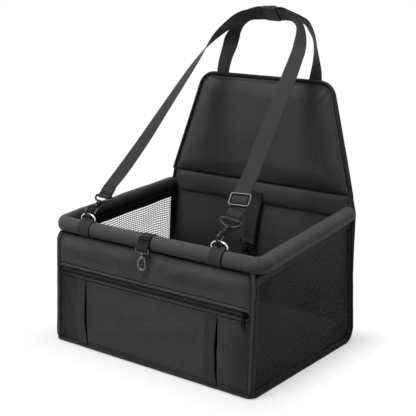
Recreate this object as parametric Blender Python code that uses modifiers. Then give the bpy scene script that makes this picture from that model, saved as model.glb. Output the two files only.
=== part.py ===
"""Dog car seat: a fabric booster box with a padded rim, net sides, a folding back flap and a strap harness.

Metres, +Z up. The open front faces -Y and +X is to its right.
The origin is the middle of the base on the seat.
"""

import math

import bmesh
import bpy
from mathutils import Matrix, Vector

MM = 0.001
GAP = 0.3 * MM

# The box
BASE_WIDTH = 428 * MM
BASE_DEPTH = 330 * MM
FRONT_Y = -BASE_DEPTH / 2
BACK_Y = BASE_DEPTH / 2
FRONT_LEAN = 8 * MM
SIDE_X = BASE_WIDTH / 2
FABRIC = 2.4 * MM
FRONT_CORNER_R = 12 * MM
BACK_CORNER_R = 30 * MM
BORDER = 14 * MM

# The padded rim, higher at the back than at the front
RIM_R = 14.3 * MM
RIM_FRONT_Y = -146.5 * MM
RIM_FRONT_X = 213.9 * MM
RIM_BACK_X = 201.3 * MM
RIM_FRONT_Z = 215.4 * MM
RIM_BACK_Z = 238.8 * MM
RIM_END_Y = 155 * MM
RIM_CORNER_R = 19 * MM
RIM_BORE_R = 9.3 * MM
TUBE_R = 8.2 * MM
TUBE_BORE_R = 6.6 * MM
ELBOW_LEAD = 6 * MM

# The zipped pocket on the front
ZIP_Z = 137.5 * MM
ZIP_TAPE = 14 * MM
ZIP_HALF = 204 * MM
SLIDER_X = 197 * MM
POCKET_FOOT_Z = 7 * MM
PLEAT_WIDTH = 27 * MM
PLEAT_LEFT_X = -146 * MM
PLEAT_RIGHT_X = 135 * MM
PULL_RING_R = 1.7 * MM
PULL_WIRE_R = 0.55 * MM

# The back and its flap
SEAM_LOW_Z = 226.2 * MM
SEAM_HIGH_Z = 267.7 * MM
FLAP_TOP_Z = 467 * MM
FLAP_LEAN = 11.6 * MM
FLAP_SKEW = 6 * MM
FLAP_BASE_HALF = 203.5 * MM
FLAP_TOP_HALF = 142 * MM
FLAP_CORNER_R = 34 * MM
PAD_CROWN = 6 * MM
HINGE_Y = 159 * MM

# Webbing and its metalwork
WEBBING = 28 * MM
WEBBING_T = 1.4 * MM
LOOP_LEFT_X = -147 * MM
LOOP_CENTER_X = -7.5 * MM
LOOP_RIGHT_X = 137 * MM
LOOP_WIDTH = 26 * MM
CLIP_WIDTH = 22.5 * MM
CLIP_DIRECTION = 198
RING_R = 1.5 * MM
D_RING_HALF = 15.8 * MM
D_RING_RISE = 11.8 * MM
HOOK_SIZE = 1.17
CLIP_SIZE = 0.6
CLIP_HOOK_SIZE = 1.0
LEASH_SIZE = 0.85
JAW_REACH = 45.4 * MM
EYE_WIRE_R = 1.6 * MM
COLLAR_FOOT = 18.0
ADJUSTER_UP = 38 * MM

# The four straps' middle lines in mm, each point with the direction of the webbing's width there.
# The front ones start above their hooks and the rear ones above the flap, and all end at the buckle.
FRONT_STRAPS = {
    "right": [
        ((129, -72, 309.5), (0.977, 0.14, -0.163)), ((127.5, -57, 324), (0.977, 0.14, -0.163)),
        ((126, -42, 339), (0.977, 0.15, -0.155)), ((121, -8, 373), (0.95, 0.28, -0.1)),
        ((114, 39, 421), (0.92, 0.37, -0.1)),
        ((106.5, 88, 470), (0.95, 0.3, -0.08)), ((101, 121, 503.5), (0.99, 0.12, -0.03)),
        ((97, 140, 522.5), (1, 0, 0)), ((92, 152, 539.5), (0.98, -0.2, 0.06)),
        ((85.5, 161, 555), (0.88, -0.45, 0.16)), ((75, 169, 567), (0.72, -0.62, 0.27)),
        ((61, 177, 575), (0.45, -0.72, 0.48)), ((48, 182, 579), (0.15, -0.7, 0.65)),
    ],
    "left": [
        ((-133, -70, 311.5), (1, 0.05, -0.03)), ((-122.5, -26, 358.5), (1, -0.05, -0.02)),
        ((-113.5, 22, 411), (0.96, -0.28, -0.01)), ((-105, 67, 460), (0.88, -0.48, -0.02)),
        ((-99, 97, 492.5), (0.78, -0.62, 0)), ((-95, 116, 513), (0.65, -0.75, 0.08)),
        ((-87.5, 132, 532), (0.45, -0.83, 0.3)), ((-78.5, 142, 545), (0.3, -0.85, 0.4)),
        ((-65.5, 152, 559), (0.22, -0.8, 0.52)), ((-51, 163, 571.5), (0.12, -0.75, 0.62)),
        ((-36, 175, 578), (0.03, -0.72, 0.68)),
    ],
}
REAR_STRAPS = {
    "right": (103, [
        ((109.5, 182, 484), (0.95, -0.3, 0)), ((108, 183, 505), (0.8, -0.6, 0.04)),
        ((105, 184, 525), (0.66, -0.74, 0.1)), ((101, 185.5, 541), (0.62, -0.75, 0.17)),
        ((94, 187, 554), (0.66, -0.7, 0.2)), ((84, 188.5, 566), (0.7, -0.66, 0.22)),
        ((72, 189, 573), (0.62, -0.7, 0.3)), ((60, 188.8, 577.5), (0.45, -0.74, 0.45)),
        ((48, 188.3, 580.5), (0.2, -0.72, 0.62)),
    ]),
    "left": (-103, [
        ((-94.5, 182, 484), (1, 0.03, -0.08)), ((-89, 183, 503), (0.99, 0.1, -0.1)),
        ((-84, 184, 517), (0.93, 0.3, -0.15)), ((-79, 185, 533), (0.65, 0.7, -0.27)),
        ((-72.5, 186, 548), (0.22, 0.92, -0.36)), ((-62.5, 187, 563), (0, 0.86, -0.5)),
        ((-48, 187.5, 574.5), (-0.05, 0.78, -0.62)), ((-32, 187.8, 580.5), (0, 0.7, -0.71)),
    ]),
}
BUCKLE_AT = Vector((9.5, 186, 582)) * MM
BUCKLE_HALF = 16.4 * MM
BAR_T = 1.9 * MM
BAR_LAP = BAR_T + GAP + WEBBING_T / 2

FABRIC_BLACK = (0.032, 0.032, 0.034)
LINING_BLACK = (0.040, 0.040, 0.042)
WEBBING_BLACK = (0.024, 0.024, 0.026)
NET_BLACK = (0.012, 0.012, 0.013)
STEEL = (0.62, 0.62, 0.64)
GUNMETAL = (0.30, 0.30, 0.31)
PLASTIC = (0.028, 0.028, 0.030)
WHITE_PVC = (0.72, 0.72, 0.70)
BOARD_GREY = (0.20, 0.20, 0.20)

for old in list(bpy.data.objects):
    bpy.data.objects.remove(old, do_unlink=True)

parts = bpy.data.collections.new("dog_car_seat")
cutters = bpy.data.collections.new("cutters")
bpy.context.scene.collection.children.link(parts)
bpy.context.scene.collection.children.link(cutters)
cutters.hide_render = True


# Shared makers

def material(name, color, roughness, metallic=0.0):
    found = bpy.data.materials.get(name)
    if found:
        return found
    made = bpy.data.materials.new(name)
    made.use_nodes = True
    shader = made.node_tree.nodes["Principled BSDF"]
    shader.inputs["Base Color"].default_value = (*color, 1.0)
    shader.inputs["Roughness"].default_value = roughness
    shader.inputs["Metallic"].default_value = metallic
    made.diffuse_color = (*color, 1.0)
    return made


def fabric():
    return material("fabric", FABRIC_BLACK, 0.9)


def lining():
    return material("lining", LINING_BLACK, 0.92)


def webbing():
    return material("webbing", WEBBING_BLACK, 0.8)


def steel():
    return material("steel", STEEL, 0.25, 1.0)


def gunmetal():
    return material("gunmetal", GUNMETAL, 0.3, 1.0)


def plastic():
    return material("plastic", PLASTIC, 0.45)


def add(name, data, look, collection=parts):
    made = bpy.data.objects.new(name, data)
    collection.objects.link(made)
    if look:
        made.data.materials.append(look)
    return made


def smooth(obj, angle=40):
    obj.data.shade_smooth()
    obj.data.set_sharp_from_angle(angle=math.radians(angle))
    return obj


def close(edit, mesh):
    """Writes an edited closed surface back with every face pointing out."""
    bmesh.ops.recalc_face_normals(edit, faces=edit.faces)
    if edit.calc_volume(signed=True) < 0:
        bmesh.ops.reverse_faces(edit, faces=edit.faces)
    edit.to_mesh(mesh)
    edit.free()


def mesh_of(curve_object):
    """The curve object's evaluated shape as a mesh object of the same name, with its caps welded."""
    name = curve_object.name
    bpy.context.view_layer.update()
    graph = bpy.context.evaluated_depsgraph_get()
    mesh = bpy.data.meshes.new_from_object(curve_object.evaluated_get(graph))
    home = curve_object.users_collection[0]
    world = curve_object.matrix_world.copy()
    bpy.data.objects.remove(curve_object, do_unlink=True)
    edit = bmesh.new()
    edit.from_mesh(mesh)
    bmesh.ops.remove_doubles(edit, verts=edit.verts, dist=0.01 * MM)
    close(edit, mesh)
    made = bpy.data.objects.new(name, mesh)
    home.objects.link(made)
    made.matrix_world = world
    return made


def wire(name, points, radius, look, closed=False, resolution=1, collection=parts, caps=True, radii=None):
    curve = bpy.data.curves.new(name, "CURVE")
    curve.dimensions = "3D"
    curve.bevel_depth = radius
    curve.bevel_resolution = resolution
    curve.use_fill_caps = caps
    spline = curve.splines.new("POLY")
    spline.points.add(len(points) - 1)
    for i, point in enumerate(points):
        spline.points[i].co = (*point, 1.0)
        spline.points[i].radius = radii[i] if radii else 1.0
    spline.use_cyclic_u = closed
    return add(name, curve, look, collection)


def plate(name, outlines, thickness, look, matrix=None, collection=parts):
    """A flat piece in local XY from closed outlines, the first outside and any others cut out of it."""
    curve = bpy.data.curves.new(name, "CURVE")
    curve.dimensions = "2D"
    curve.fill_mode = "BOTH"
    curve.extrude = thickness / 2
    for outline in outlines:
        spline = curve.splines.new("POLY")
        spline.points.add(len(outline) - 1)
        for i, (x, y) in enumerate(outline):
            spline.points[i].co = (x, y, 0.0, 1.0)
        spline.use_cyclic_u = True
    made = add(name, curve, look, collection)
    if matrix:
        made.matrix_world = matrix
    return made


def sheet(name, place, columns, rows, thickness, look, offset=0.0):
    """A grid over u and v from 0 to 1, moved by place(u, v) and given its thickness."""
    edit = bmesh.new()
    bmesh.ops.create_grid(edit, x_segments=columns, y_segments=rows, size=0.5)
    for vert in edit.verts:
        vert.co = place(vert.co.x + 0.5, vert.co.y + 0.5)
    mesh = bpy.data.meshes.new(name)
    edit.to_mesh(mesh)
    edit.free()
    made = add(name, mesh, look)
    solid = made.modifiers.new("thickness", "SOLIDIFY")
    solid.thickness = thickness
    solid.offset = offset
    solid.use_even_offset = True
    return smooth(made)


def cushion(name, place, columns, rows, thickness, offset, point, normal):
    """A padded sheet with its rear flat on the plane through a point, and its unit normal out of the rear."""
    made = mesh_of(sheet(name, place, columns, rows, thickness, None, offset))
    half = len(made.data.vertices) // 2
    groups = (made.data.vertices[:half], made.data.vertices[half:])
    rear = max(groups, key=lambda group: sum((vert.co - point).dot(normal) for vert in group))
    for vert in rear:
        vert.co -= normal * (vert.co - point).dot(normal)
    made.data.materials.append(lining())
    return smooth(made)


def strip(name, stations, width, thickness, look, closed=False):
    """Webbing: an open strip through (point, width direction) stations, given its thickness."""
    edit = bmesh.new()
    rows = []
    points = [Vector(point) for point, across in stations]
    last = len(points) - 1
    for i, (point, across) in enumerate(stations):
        before, after = (i - 1, (i + 1) % len(points)) if closed else (max(i - 1, 0), min(i + 1, last))
        along = (points[after] - points[before]).normalized()
        side = Vector(across).normalized()
        side = (side - along * side.dot(along)).normalized() * width / 2
        rows.append((edit.verts.new(points[i] - side), edit.verts.new(points[i] + side)))
    pairs = list(zip(rows, rows[1:]))
    if closed:
        pairs.append((rows[-1], rows[0]))
    for (a, b), (c, d) in pairs:
        edit.faces.new((a, b, d, c))
    mesh = bpy.data.meshes.new(name)
    edit.to_mesh(mesh)
    edit.free()
    made = add(name, mesh, look)
    solid = made.modifiers.new("thickness", "SOLIDIFY")
    solid.thickness = thickness
    solid.offset = 0.0
    solid.use_even_offset = True
    return smooth(made, 60)


def box(name, low, high, look, bevel=0.0, matrix=None, collection=parts):
    edit = bmesh.new()
    bmesh.ops.create_cube(edit, size=1.0)
    low, high = Vector(low), Vector(high)
    for vert in edit.verts:
        vert.co = (low + high) / 2 + Vector(c * s for c, s in zip(vert.co, high - low))
    mesh = bpy.data.meshes.new(name)
    edit.to_mesh(mesh)
    edit.free()
    made = add(name, mesh, look, collection)
    if matrix:
        made.matrix_world = matrix
    if bevel:
        rounding = made.modifiers.new("rounding", "BEVEL")
        rounding.width = bevel
        rounding.segments = 2
    return made


def rod(name, radius, top, bottom, look, matrix=None, collection=parts, low_radius=None, segments=16):
    """A cylinder or cone along local Z between two heights."""
    edit = bmesh.new()
    bmesh.ops.create_cone(edit, cap_ends=True, segments=segments, radius1=low_radius or radius,
                          radius2=radius, depth=top - bottom)
    bmesh.ops.translate(edit, verts=edit.verts, vec=(0, 0, (top + bottom) / 2))
    mesh = bpy.data.meshes.new(name)
    edit.to_mesh(mesh)
    edit.free()
    made = add(name, mesh, look, collection)
    if matrix:
        made.matrix_world = matrix
    return smooth(made)


def boolean(target, operation, tool):
    step = target.modifiers.new(tool.name, "BOOLEAN")
    step.operation = operation
    step.object = tool
    tool.hide_render = True
    tool.display_type = "WIRE"


def arc(center, radius, start, end, steps):
    """Points round a flat arc, with angles in degrees."""
    cx, cy = center
    angles = [math.radians(start + (end - start) * i / steps) for i in range(steps + 1)]
    return [(cx + radius * math.cos(a), cy + radius * math.sin(a)) for a in angles]


def lerp(a, b, t):
    return a + (b - a) * t


def eased(points, per_span):
    """A smooth route through hand-picked (point, direction) pairs, by Catmull-Rom."""
    rows = [tuple(p) + tuple(d) for p, d in points]
    rows = [rows[0]] + rows + [rows[-1]]
    found = []
    for i in range(1, len(rows) - 2):
        for step in range(per_span):
            t = step / per_span
            row = [
                0.5 * (2 * b + (c - a) * t + (2 * a - 5 * b + 4 * c - d) * t * t
                       + (3 * b - a - 3 * c + d) * t ** 3)
                for a, b, c, d in zip(*rows[i - 1:i + 3])
            ]
            found.append((Vector(row[:3]), Vector(row[3:])))
    found.append((Vector(rows[-1][:3]), Vector(rows[-1][3:])))
    return found


# Where the walls run

def rim_center(y):
    """(x, z) of the side rim's centre line at a depth."""
    t = (y - RIM_FRONT_Y) / (BACK_Y - RIM_FRONT_Y)
    return lerp(RIM_FRONT_X, RIM_BACK_X, t), lerp(RIM_FRONT_Z, RIM_BACK_Z, t)


def side_top(y):
    return rim_center(y)[1] - RIM_R - 1.2 * MM


def side_x(y, z):
    """The side wall's middle at a depth and height, from the base's edge up to the rim."""
    return lerp(SIDE_X, rim_center(y)[0], max(0.0, z) / rim_center(y)[1])


def front_y(z):
    return FRONT_Y + FRONT_LEAN * z / RIM_FRONT_Z


def front_bulge(x, z):
    """How far the front swells between its seams: under the rim, at the zip and at the foot."""
    across = 1 - (x / SIDE_X) ** 4
    if z > ZIP_Z:
        span = (z - ZIP_Z) / (RIM_FRONT_Z - RIM_R - ZIP_Z)
    else:
        span = z / ZIP_Z
    return 3.2 * MM * across * math.sin(math.pi * min(1.0, max(0.0, span)))


def front_point(x, z, depth):
    """A point of a front layer, depth behind the outer face."""
    return (x, front_y(z) - front_bulge(x, z) + depth, z)


def flap_point(x, up, depth):
    """A point of the flap: x across, up from the hinge seam, depth behind the back's middle sheet."""
    rise = (FLAP_TOP_Z - SEAM_HIGH_Z)
    slope = FLAP_LEAN / rise
    return Vector((x + FLAP_SKEW * up / rise, BACK_Y + slope * up + depth, SEAM_HIGH_Z + up - slope * depth))


# The base

def base():
    near, far, half = FRONT_Y + 4 * MM, BACK_Y - BACK_CORNER_R, SIDE_X - 3 * MM
    plate("base_cover", [[(-half, near), (half, near), (half, far), (-half, far)]],
          2 * MM, fabric(), Matrix.Translation((0, 0, 1 * MM)))
    inner = 7 * MM
    box("base_board", (-SIDE_X + inner, FRONT_Y + inner, 2.3 * MM),
        (SIDE_X - inner, BACK_Y - BACK_CORNER_R - GAP, 5.3 * MM), material("board", BOARD_GREY, 0.8))

    def pad(u, v):
        x = lerp(-1, 1, u)
        y = lerp(-1, 1, v)
        drawn = 5 * MM
        half_x = SIDE_X - 11 * MM - drawn * (1 - y * y)
        half_y = (BASE_DEPTH - BACK_CORNER_R) / 2 - 10 * MM - drawn * (1 - x * x)
        crown = 9 * MM * (1 - x ** 4) * (1 - y ** 4)
        return (half_x * x, half_y * y - BACK_CORNER_R / 2, 10.6 * MM + crown)

    cushion("floor_pad", pad, 12, 10, 5 * MM, -1.0, Vector((0, 0, 5.6 * MM)), Vector((0, 0, -1)))


# The sides

def side_outline(inset):
    """The side's (y, z) outline: leaning front edge, sloping top and a wide round back corner."""
    low = 0.6 * MM + inset
    front_r = max(FRONT_CORNER_R - inset, 2 * MM)
    back_r = max(BACK_CORNER_R - inset, 2 * MM)
    front = FRONT_Y + inset
    back = BACK_Y - 1.5 * MM - inset
    points = arc((back - back_r, low + back_r), back_r, -90, 0, 6)
    points += [(back, side_top(back) - inset)]
    points += [(front_y(side_top(front)) + inset, side_top(front) - inset)]
    points += arc((front + front_r, low + front_r), front_r, 180, 270, 4)
    return points


def on_side(made, sign, depth):
    """Bends a flat (y, z, thickness) piece onto the side wall's slightly twisted surface."""
    edit = bmesh.new()
    edit.from_mesh(made.data)
    for vert in edit.verts:
        y, z, across = vert.co
        vert.co = (sign * (side_x(y, z) + depth + across), y, z)
    close(edit, made.data)
    return made


def side(word, sign):
    frame = mesh_of(plate(word + "_side_frame", [side_outline(0), side_outline(BORDER)], FABRIC, None))
    on_side(frame, sign, 0)
    frame.data.materials.append(fabric())

    net_t = 1.6 * MM
    edit = bmesh.new()
    bmesh.ops.create_grid(edit, x_segments=12, y_segments=8, size=0.5)
    low, reach = 10 * MM, BORDER - 4.5 * MM
    for vert in edit.verts:
        y = lerp(FRONT_Y + reach, BACK_Y - reach - 1 * MM, vert.co.x + 0.5)
        z = lerp(low, side_top(y) - reach + 2 * MM, vert.co.y + 0.5)
        vert.co = (y, z, 0)
    mesh = bpy.data.meshes.new(word + "_side_net")
    edit.to_mesh(mesh)
    edit.free()
    net = add(word + "_side_net", mesh, None)
    on_side(net, sign, -FABRIC / 2 - GAP - net_t / 2 - 0.2 * MM)
    threads = net.modifiers.new("threads", "WIREFRAME")
    threads.thickness = net_t
    threads.use_even_offset = False
    threads.use_boundary = True
    net.data.materials.append(material("net", NET_BLACK, 0.85))

    bead = 2.2 * MM
    out = FABRIC / 2 + GAP + bead
    route = side_outline(bead + 0.4 * MM)
    top_back = route.index(min(route, key=lambda p: (-p[0], -p[1])))
    route = route[:top_back + 1][::-1] + route[top_back + 2:][::-1]
    points = [(sign * (side_x(y, z) + out), y, z) for y, z in route]
    wire(word + "_side_piping", points, bead, fabric())


# The front wall and its zipped pocket

def front():
    top = RIM_FRONT_Z - RIM_R - 1.6 * MM
    half = SIDE_X - 3.6 * MM

    def wall(u, v):
        x = lerp(-half, half, u)
        return front_point(x, lerp(2.6 * MM, top, v), 5 * MM)

    def facing(u, v):
        x = lerp(-half, half, u)
        return front_point(x, lerp(ZIP_Z + ZIP_TAPE / 2 + GAP, top, v), 1.7 * MM)

    sheet("front_panel", wall, 12, 12, FABRIC, lining())
    sheet("front_facing", facing, 12, 5, FABRIC, fabric())

    pleat_half = PLEAT_WIDTH / 2
    edges = [-half]
    for center in (PLEAT_LEFT_X, PLEAT_RIGHT_X):
        edges += [center - pleat_half - 1 * MM, center - pleat_half]
        edges += [center + pleat_half, center + pleat_half + 1 * MM]
    edges += [half]
    stations = []
    for a, b in zip(edges, edges[1:]):
        count = max(1, round((b - a) / (45 * MM)))
        stations += [lerp(a, b, i / count) for i in range(count)]
    stations.append(half)
    foot, head, rows = POCKET_FOOT_Z, ZIP_Z - ZIP_TAPE / 2 - GAP, 6
    edit = bmesh.new()
    grid = []
    for x in stations:
        recessed = any(abs(x - center) < pleat_half + 0.1 * MM for center in (PLEAT_LEFT_X, PLEAT_RIGHT_X))
        depth = (2.3 if recessed else 0.9) * MM
        column = [edit.verts.new(front_point(x, lerp(foot, head, r / rows), depth)) for r in range(rows + 1)]
        grid.append(column)
    for a, b in zip(grid, grid[1:]):
        for r in range(rows):
            edit.faces.new((a[r], b[r], b[r + 1], a[r + 1]))
    mesh = bpy.data.meshes.new("pocket_panel")
    edit.to_mesh(mesh)
    edit.free()
    pocket = add("pocket_panel", mesh, fabric())
    solid = pocket.modifiers.new("thickness", "SOLIDIFY")
    solid.thickness = 1.4 * MM
    solid.offset = 0.0

    for word, center in (("left", PLEAT_LEFT_X), ("right", PLEAT_RIGHT_X)):
        def band(u, v, center=center):
            x = center + lerp(-1, 1, u) * (pleat_half - 1.2 * MM)
            return front_point(x, lerp(foot + 1 * MM, head - 1 * MM, v), 0.7 * MM)
        sheet(word + "_pleat_band", band, 1, 6, 1.0 * MM, webbing())

    wire("front_piping", [(x * half, FRONT_Y + 0.6 * MM, 3.2 * MM) for x in (-1, 1)], 2.4 * MM, fabric())


def zipper():
    def tape(u, v):
        x = lerp(-ZIP_HALF, ZIP_HALF, u)
        return front_point(x, ZIP_Z + lerp(-0.5, 0.5, v) * (ZIP_TAPE - 2 * GAP), 2.6 * MM)

    sheet("zipper_tape", tape, 12, 4, 0.9 * MM, webbing())
    teeth_back = FRONT_Y + FRONT_LEAN * ZIP_Z / RIM_FRONT_Z + 1.7 * MM
    box("zipper_teeth", (-ZIP_HALF + 3 * MM, teeth_back - 1.4 * MM, ZIP_Z - 2 * MM),
        (ZIP_HALF - 3 * MM, teeth_back, ZIP_Z + 2 * MM), plastic())

    face = teeth_back - 1.4 * MM
    body = box("zipper_slider", (SLIDER_X - 4.5 * MM, face - 2.6 * MM, ZIP_Z - 4 * MM),
               (SLIDER_X + 4.5 * MM, face + 1.0 * MM, ZIP_Z + 4 * MM), gunmetal())
    channel = box("slider_channel", (SLIDER_X - 10 * MM, face - 0.4 * MM, ZIP_Z - 2.4 * MM),
                  (SLIDER_X + 10 * MM, face + 5 * MM, ZIP_Z + 2.4 * MM), None, collection=cutters)
    boolean(body, "DIFFERENCE", channel)
    front = face - 2.6 * MM
    bridge_y = front - 3.0 * MM
    bridge = mesh_of(wire("slider_bridge", [
        (SLIDER_X - 3.6 * MM, front + 0.8 * MM, ZIP_Z), (SLIDER_X - 3.0 * MM, bridge_y, ZIP_Z),
        (SLIDER_X + 3.0 * MM, bridge_y, ZIP_Z), (SLIDER_X + 3.6 * MM, front + 0.8 * MM, ZIP_Z)],
        0.7 * MM, None, collection=cutters))
    boolean(body, "UNION", bridge)

    ring = [(0, bridge_y + y, ZIP_Z + z) for y, z in arc((0, 0), PULL_RING_R, 0, 330, 11)]
    eye = [(SLIDER_X, y, z) for x, y, z in ring]
    pull = mesh_of(wire("zipper_pull", eye, PULL_WIRE_R, None, closed=True))
    pull.data.materials.append(gunmetal())
    head, foot, half = -1.4 * MM, -21.5 * MM, 4.0 * MM
    outline = arc((0, head - 1.6 * MM), 2.0 * MM, 0, 180, 6) + arc((0, foot + half), half, 180, 360, 10)
    hole = arc((0, foot + 4.2 * MM), 1.6 * MM, 0, 330, 11)
    hang = Matrix.Translation((SLIDER_X, bridge_y, ZIP_Z)) @ Matrix.Rotation(math.pi / 2, 4, "X")
    tab = mesh_of(plate("pull_tab", [outline, hole], 1.2 * MM, None, hang, collection=cutters))
    boolean(pull, "UNION", tab)
    return (SLIDER_X, face, ZIP_Z), (SLIDER_X, bridge_y, ZIP_Z)


# The back wall, hinged flap and its piping

def back_half(z):
    """Half the back's width at a height: nearly straight, widest where it meets the rim."""
    if z < RIM_BACK_Z:
        return lerp(209.5 * MM, 210.5 * MM, z / RIM_BACK_Z)
    return lerp(210.5 * MM, FLAP_BASE_HALF, (z - RIM_BACK_Z) / (SEAM_HIGH_Z - RIM_BACK_Z))


def back():
    radius = BACK_CORNER_R

    def cover(u, v):
        turn = 0.16
        if v < turn:
            a = math.radians(lerp(-90, 0, v / turn))
            y = BACK_Y - radius + radius * math.cos(a)
            z = 1.2 * MM + radius + radius * math.sin(a)
            half = SIDE_X - 3.4 * MM
        else:
            y = BACK_Y
            z = lerp(1.2 * MM + radius, SEAM_HIGH_Z - 1 * MM, (v - turn) / (1 - turn))
            half = back_half(z) if z > 60 * MM else SIDE_X - 3.4 * MM
        return (half * lerp(-1, 1, u), y + 1.6 * MM, z)

    sheet("back_cover", cover, 4, 25, 2 * MM, fabric())
    low = radius + 4 * MM
    top = SEAM_LOW_Z - 1 * MM
    board_half = 195 * MM
    box("back_board", (-board_half, BACK_Y - 1.8 * MM, low),
        (board_half, BACK_Y + 0.2 * MM, SEAM_HIGH_Z - 3 * MM), material("board", BOARD_GREY, 0.8))

    face = BACK_Y - 2.1 * MM
    lining_half = RIM_BACK_X - RIM_R - 9 * MM

    def padded(name, z_low, z_high, crown, columns, rows, half_low, half_high):
        def front_face(u, v):
            x, z = lerp(-1, 1, u), lerp(-1, 1, v)
            swell = crown * (1 - x ** 6) * (1 - z ** 4)
            half = lerp(half_low, half_high, v)
            return (x * half, face - 1.6 * MM - swell, lerp(z_low, z_high, v))
        cushion(name, front_face, columns, rows, 1.6 * MM, 1.0, Vector((0, face, 0)), Vector((0, 1, 0)))

    padded("lower_back_pad", low, top, 2.5 * MM, 10, 8, lining_half, lining_half)
    padded("back_band", SEAM_LOW_Z + 1 * MM, SEAM_HIGH_Z - 1.4 * MM, 3.0 * MM, 10, 4, lining_half, 194 * MM)


def flap_outline(inset, foot):
    """The flap's (x, up) outline, a trapezoid with round top corners."""
    rise = FLAP_TOP_Z - SEAM_HIGH_Z
    top = rise - inset
    lean = math.atan2(FLAP_BASE_HALF - FLAP_TOP_HALF, rise)
    radius = FLAP_CORNER_R - inset
    corner_x = FLAP_TOP_HALF - inset / math.cos(lean) + inset * math.tan(lean)
    turn = math.pi / 2 - lean
    back_off = radius * math.tan(turn / 2)
    cx, cy = corner_x - back_off, top - radius
    right = arc((cx, cy), radius, math.degrees(lean), 90, 7)
    base_half = FLAP_BASE_HALF - inset / math.cos(lean) - foot * math.tan(lean)
    points = [(base_half, foot)] + right
    return points + [(-x, up) for x, up in reversed(points)]


def on_flap(made, depth):
    for vert in made.data.vertices:
        x, up, across = vert.co
        vert.co = flap_point(x, up, depth + across)
    edit = bmesh.new()
    edit.from_mesh(made.data)
    close(edit, made.data)
    return made


def flap():
    cover = on_flap(mesh_of(plate("flap_cover", [flap_outline(3 * MM, 1.5 * MM)], 2 * MM, None)), 1.6 * MM)
    cover.data.materials.append(fabric())
    board = on_flap(mesh_of(plate("flap_board", [flap_outline(12 * MM, 5 * MM)], 1.6 * MM, None)), -0.6 * MM)
    board.data.materials.append(material("board", BOARD_GREY, 0.8))

    inset, foot = 8 * MM, 3 * MM
    rise = FLAP_TOP_Z - SEAM_HIGH_Z - inset
    edge = flap_outline(inset, foot)
    right_edge = edge[:len(edge) // 2]

    def half_at(up):
        for (x0, u0), (x1, u1) in zip(right_edge, right_edge[1:]):
            if u0 <= up <= u1 + 1e-9:
                return lerp(x0, x1, (up - u0) / max(u1 - u0, 1e-9))
        return right_edge[-1][0]

    def front_face(u, v):
        x = math.sin(math.pi / 2 * lerp(-1, 1, u))
        t = math.sin(math.pi / 2 * v)
        up = lerp(foot, rise, t)
        swell = PAD_CROWN * (1 - x ** 6) * (1 - abs(2 * t - 1) ** 4)
        return flap_point(x * half_at(up), up, -3.4 * MM - swell)

    normal = (flap_point(0, 0, 1) - flap_point(0, 0, 0)).normalized()
    cushion("flap_pad", front_face, 14, 12, 1.6 * MM, 1.0, flap_point(0, 0, -1.8 * MM), normal)

    bead = 2.6 * MM
    route = flap_outline(4.2 * MM, 3 * MM)
    wire("flap_piping", [flap_point(x, up, -0.6 * MM - GAP - bead) for x, up in route], bead, fabric())


# The rim

def rim_route(radius, reach):
    """The U-shaped line of the rim in plan, from the left end round the front to the right end."""
    x_end, z_end = rim_center(reach)
    right = [(x_end, reach, z_end)]
    corner = (RIM_FRONT_X - radius, RIM_FRONT_Y + radius)
    for x, y in arc(corner, radius, 0, -90, 5):
        z = rim_center(y)[1]
        right.append((x, y, z))
    return [(-x, y, z) for x, y, z in right] + right[::-1]


def tube(name, points, outer, inner, look, resolution=2):
    """A hollow tube, open at both ends."""
    hose = wire(name, points, outer, None, resolution=resolution, caps=False)
    shell = mesh_of(hose)
    shell.data.materials.append(look)
    wall = shell.modifiers.new("wall", "SOLIDIFY")
    wall.thickness = outer - inner
    wall.offset = -1.0
    wall.use_even_offset = True
    return smooth(shell)


def rim():
    sleeve = rim_route(RIM_CORNER_R, RIM_END_Y)
    tube("rim_sleeve", sleeve, RIM_R, RIM_BORE_R, fabric(), resolution=3)
    pvc = material("pvc_tube", WHITE_PVC, 0.4)
    straight = RIM_FRONT_X - RIM_CORNER_R - ELBOW_LEAD - GAP
    tube("rim_tube_front", [(-straight, RIM_FRONT_Y, RIM_FRONT_Z), (straight, RIM_FRONT_Y, RIM_FRONT_Z)],
         TUBE_R, TUBE_BORE_R, pvc)
    route = rim_route(RIM_CORNER_R, RIM_END_Y - 3 * MM)
    half = len(route) // 2
    for word, run in (("left", route[:half]), ("right", route[half:][::-1])):
        start, corner = Vector(run[0]), Vector(run[1])
        along = (start - corner).normalized()
        tube("rim_tube_" + word, [start, corner + along * (ELBOW_LEAD + GAP)], TUBE_R, TUBE_BORE_R, pvc)
        bend = [corner + along * ELBOW_LEAD] + [Vector(p) for p in run[1:]]
        bend.append(bend[-1] - Vector((math.copysign(ELBOW_LEAD, bend[-1].x), 0, 0)))
        tube("rim_elbow_" + word, bend, TUBE_R, TUBE_BORE_R, pvc)


# Webbing loops and D-rings on the front rim

BAR_RISE = RIM_R + GAP + RING_R


def rim_loop(name, x, width, direction, bar_reach, bar_r):
    """Webbing round the rim and over a bar that lies on it in a direction given in degrees."""
    big, small = RIM_R + GAP + WEBBING_T / 2, bar_r + 2 * GAP + WEBBING_T / 2
    off = math.degrees(math.acos((big - small) / bar_reach))
    center = (RIM_FRONT_Y, RIM_FRONT_Z)
    a = math.radians(direction)
    bar = (center[0] + bar_reach * math.cos(a), center[1] + bar_reach * math.sin(a))
    points = arc(center, big, direction + off, direction + 360 - off, 16)
    points += arc(bar, small, direction - off, direction + off, 5)
    strip(name, [((x, y, z), (1, 0, 0)) for y, z in points], width, WEBBING_T, webbing(), closed=True)
    return bar


def d_ring(name, x, y, z):
    points = [(x + sx * D_RING_HALF * 0.92, y, z) for sx in (-1, 0, 1)]
    bow = arc((0, 0), 1, 0, 180, 14)
    points += [(x + D_RING_HALF * bx, y, z + 3 * MM + (D_RING_RISE - 3 * MM) * by) for bx, by in bow]
    return wire(name, points, RING_R, steel(), closed=True)


# Snap hooks

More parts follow.
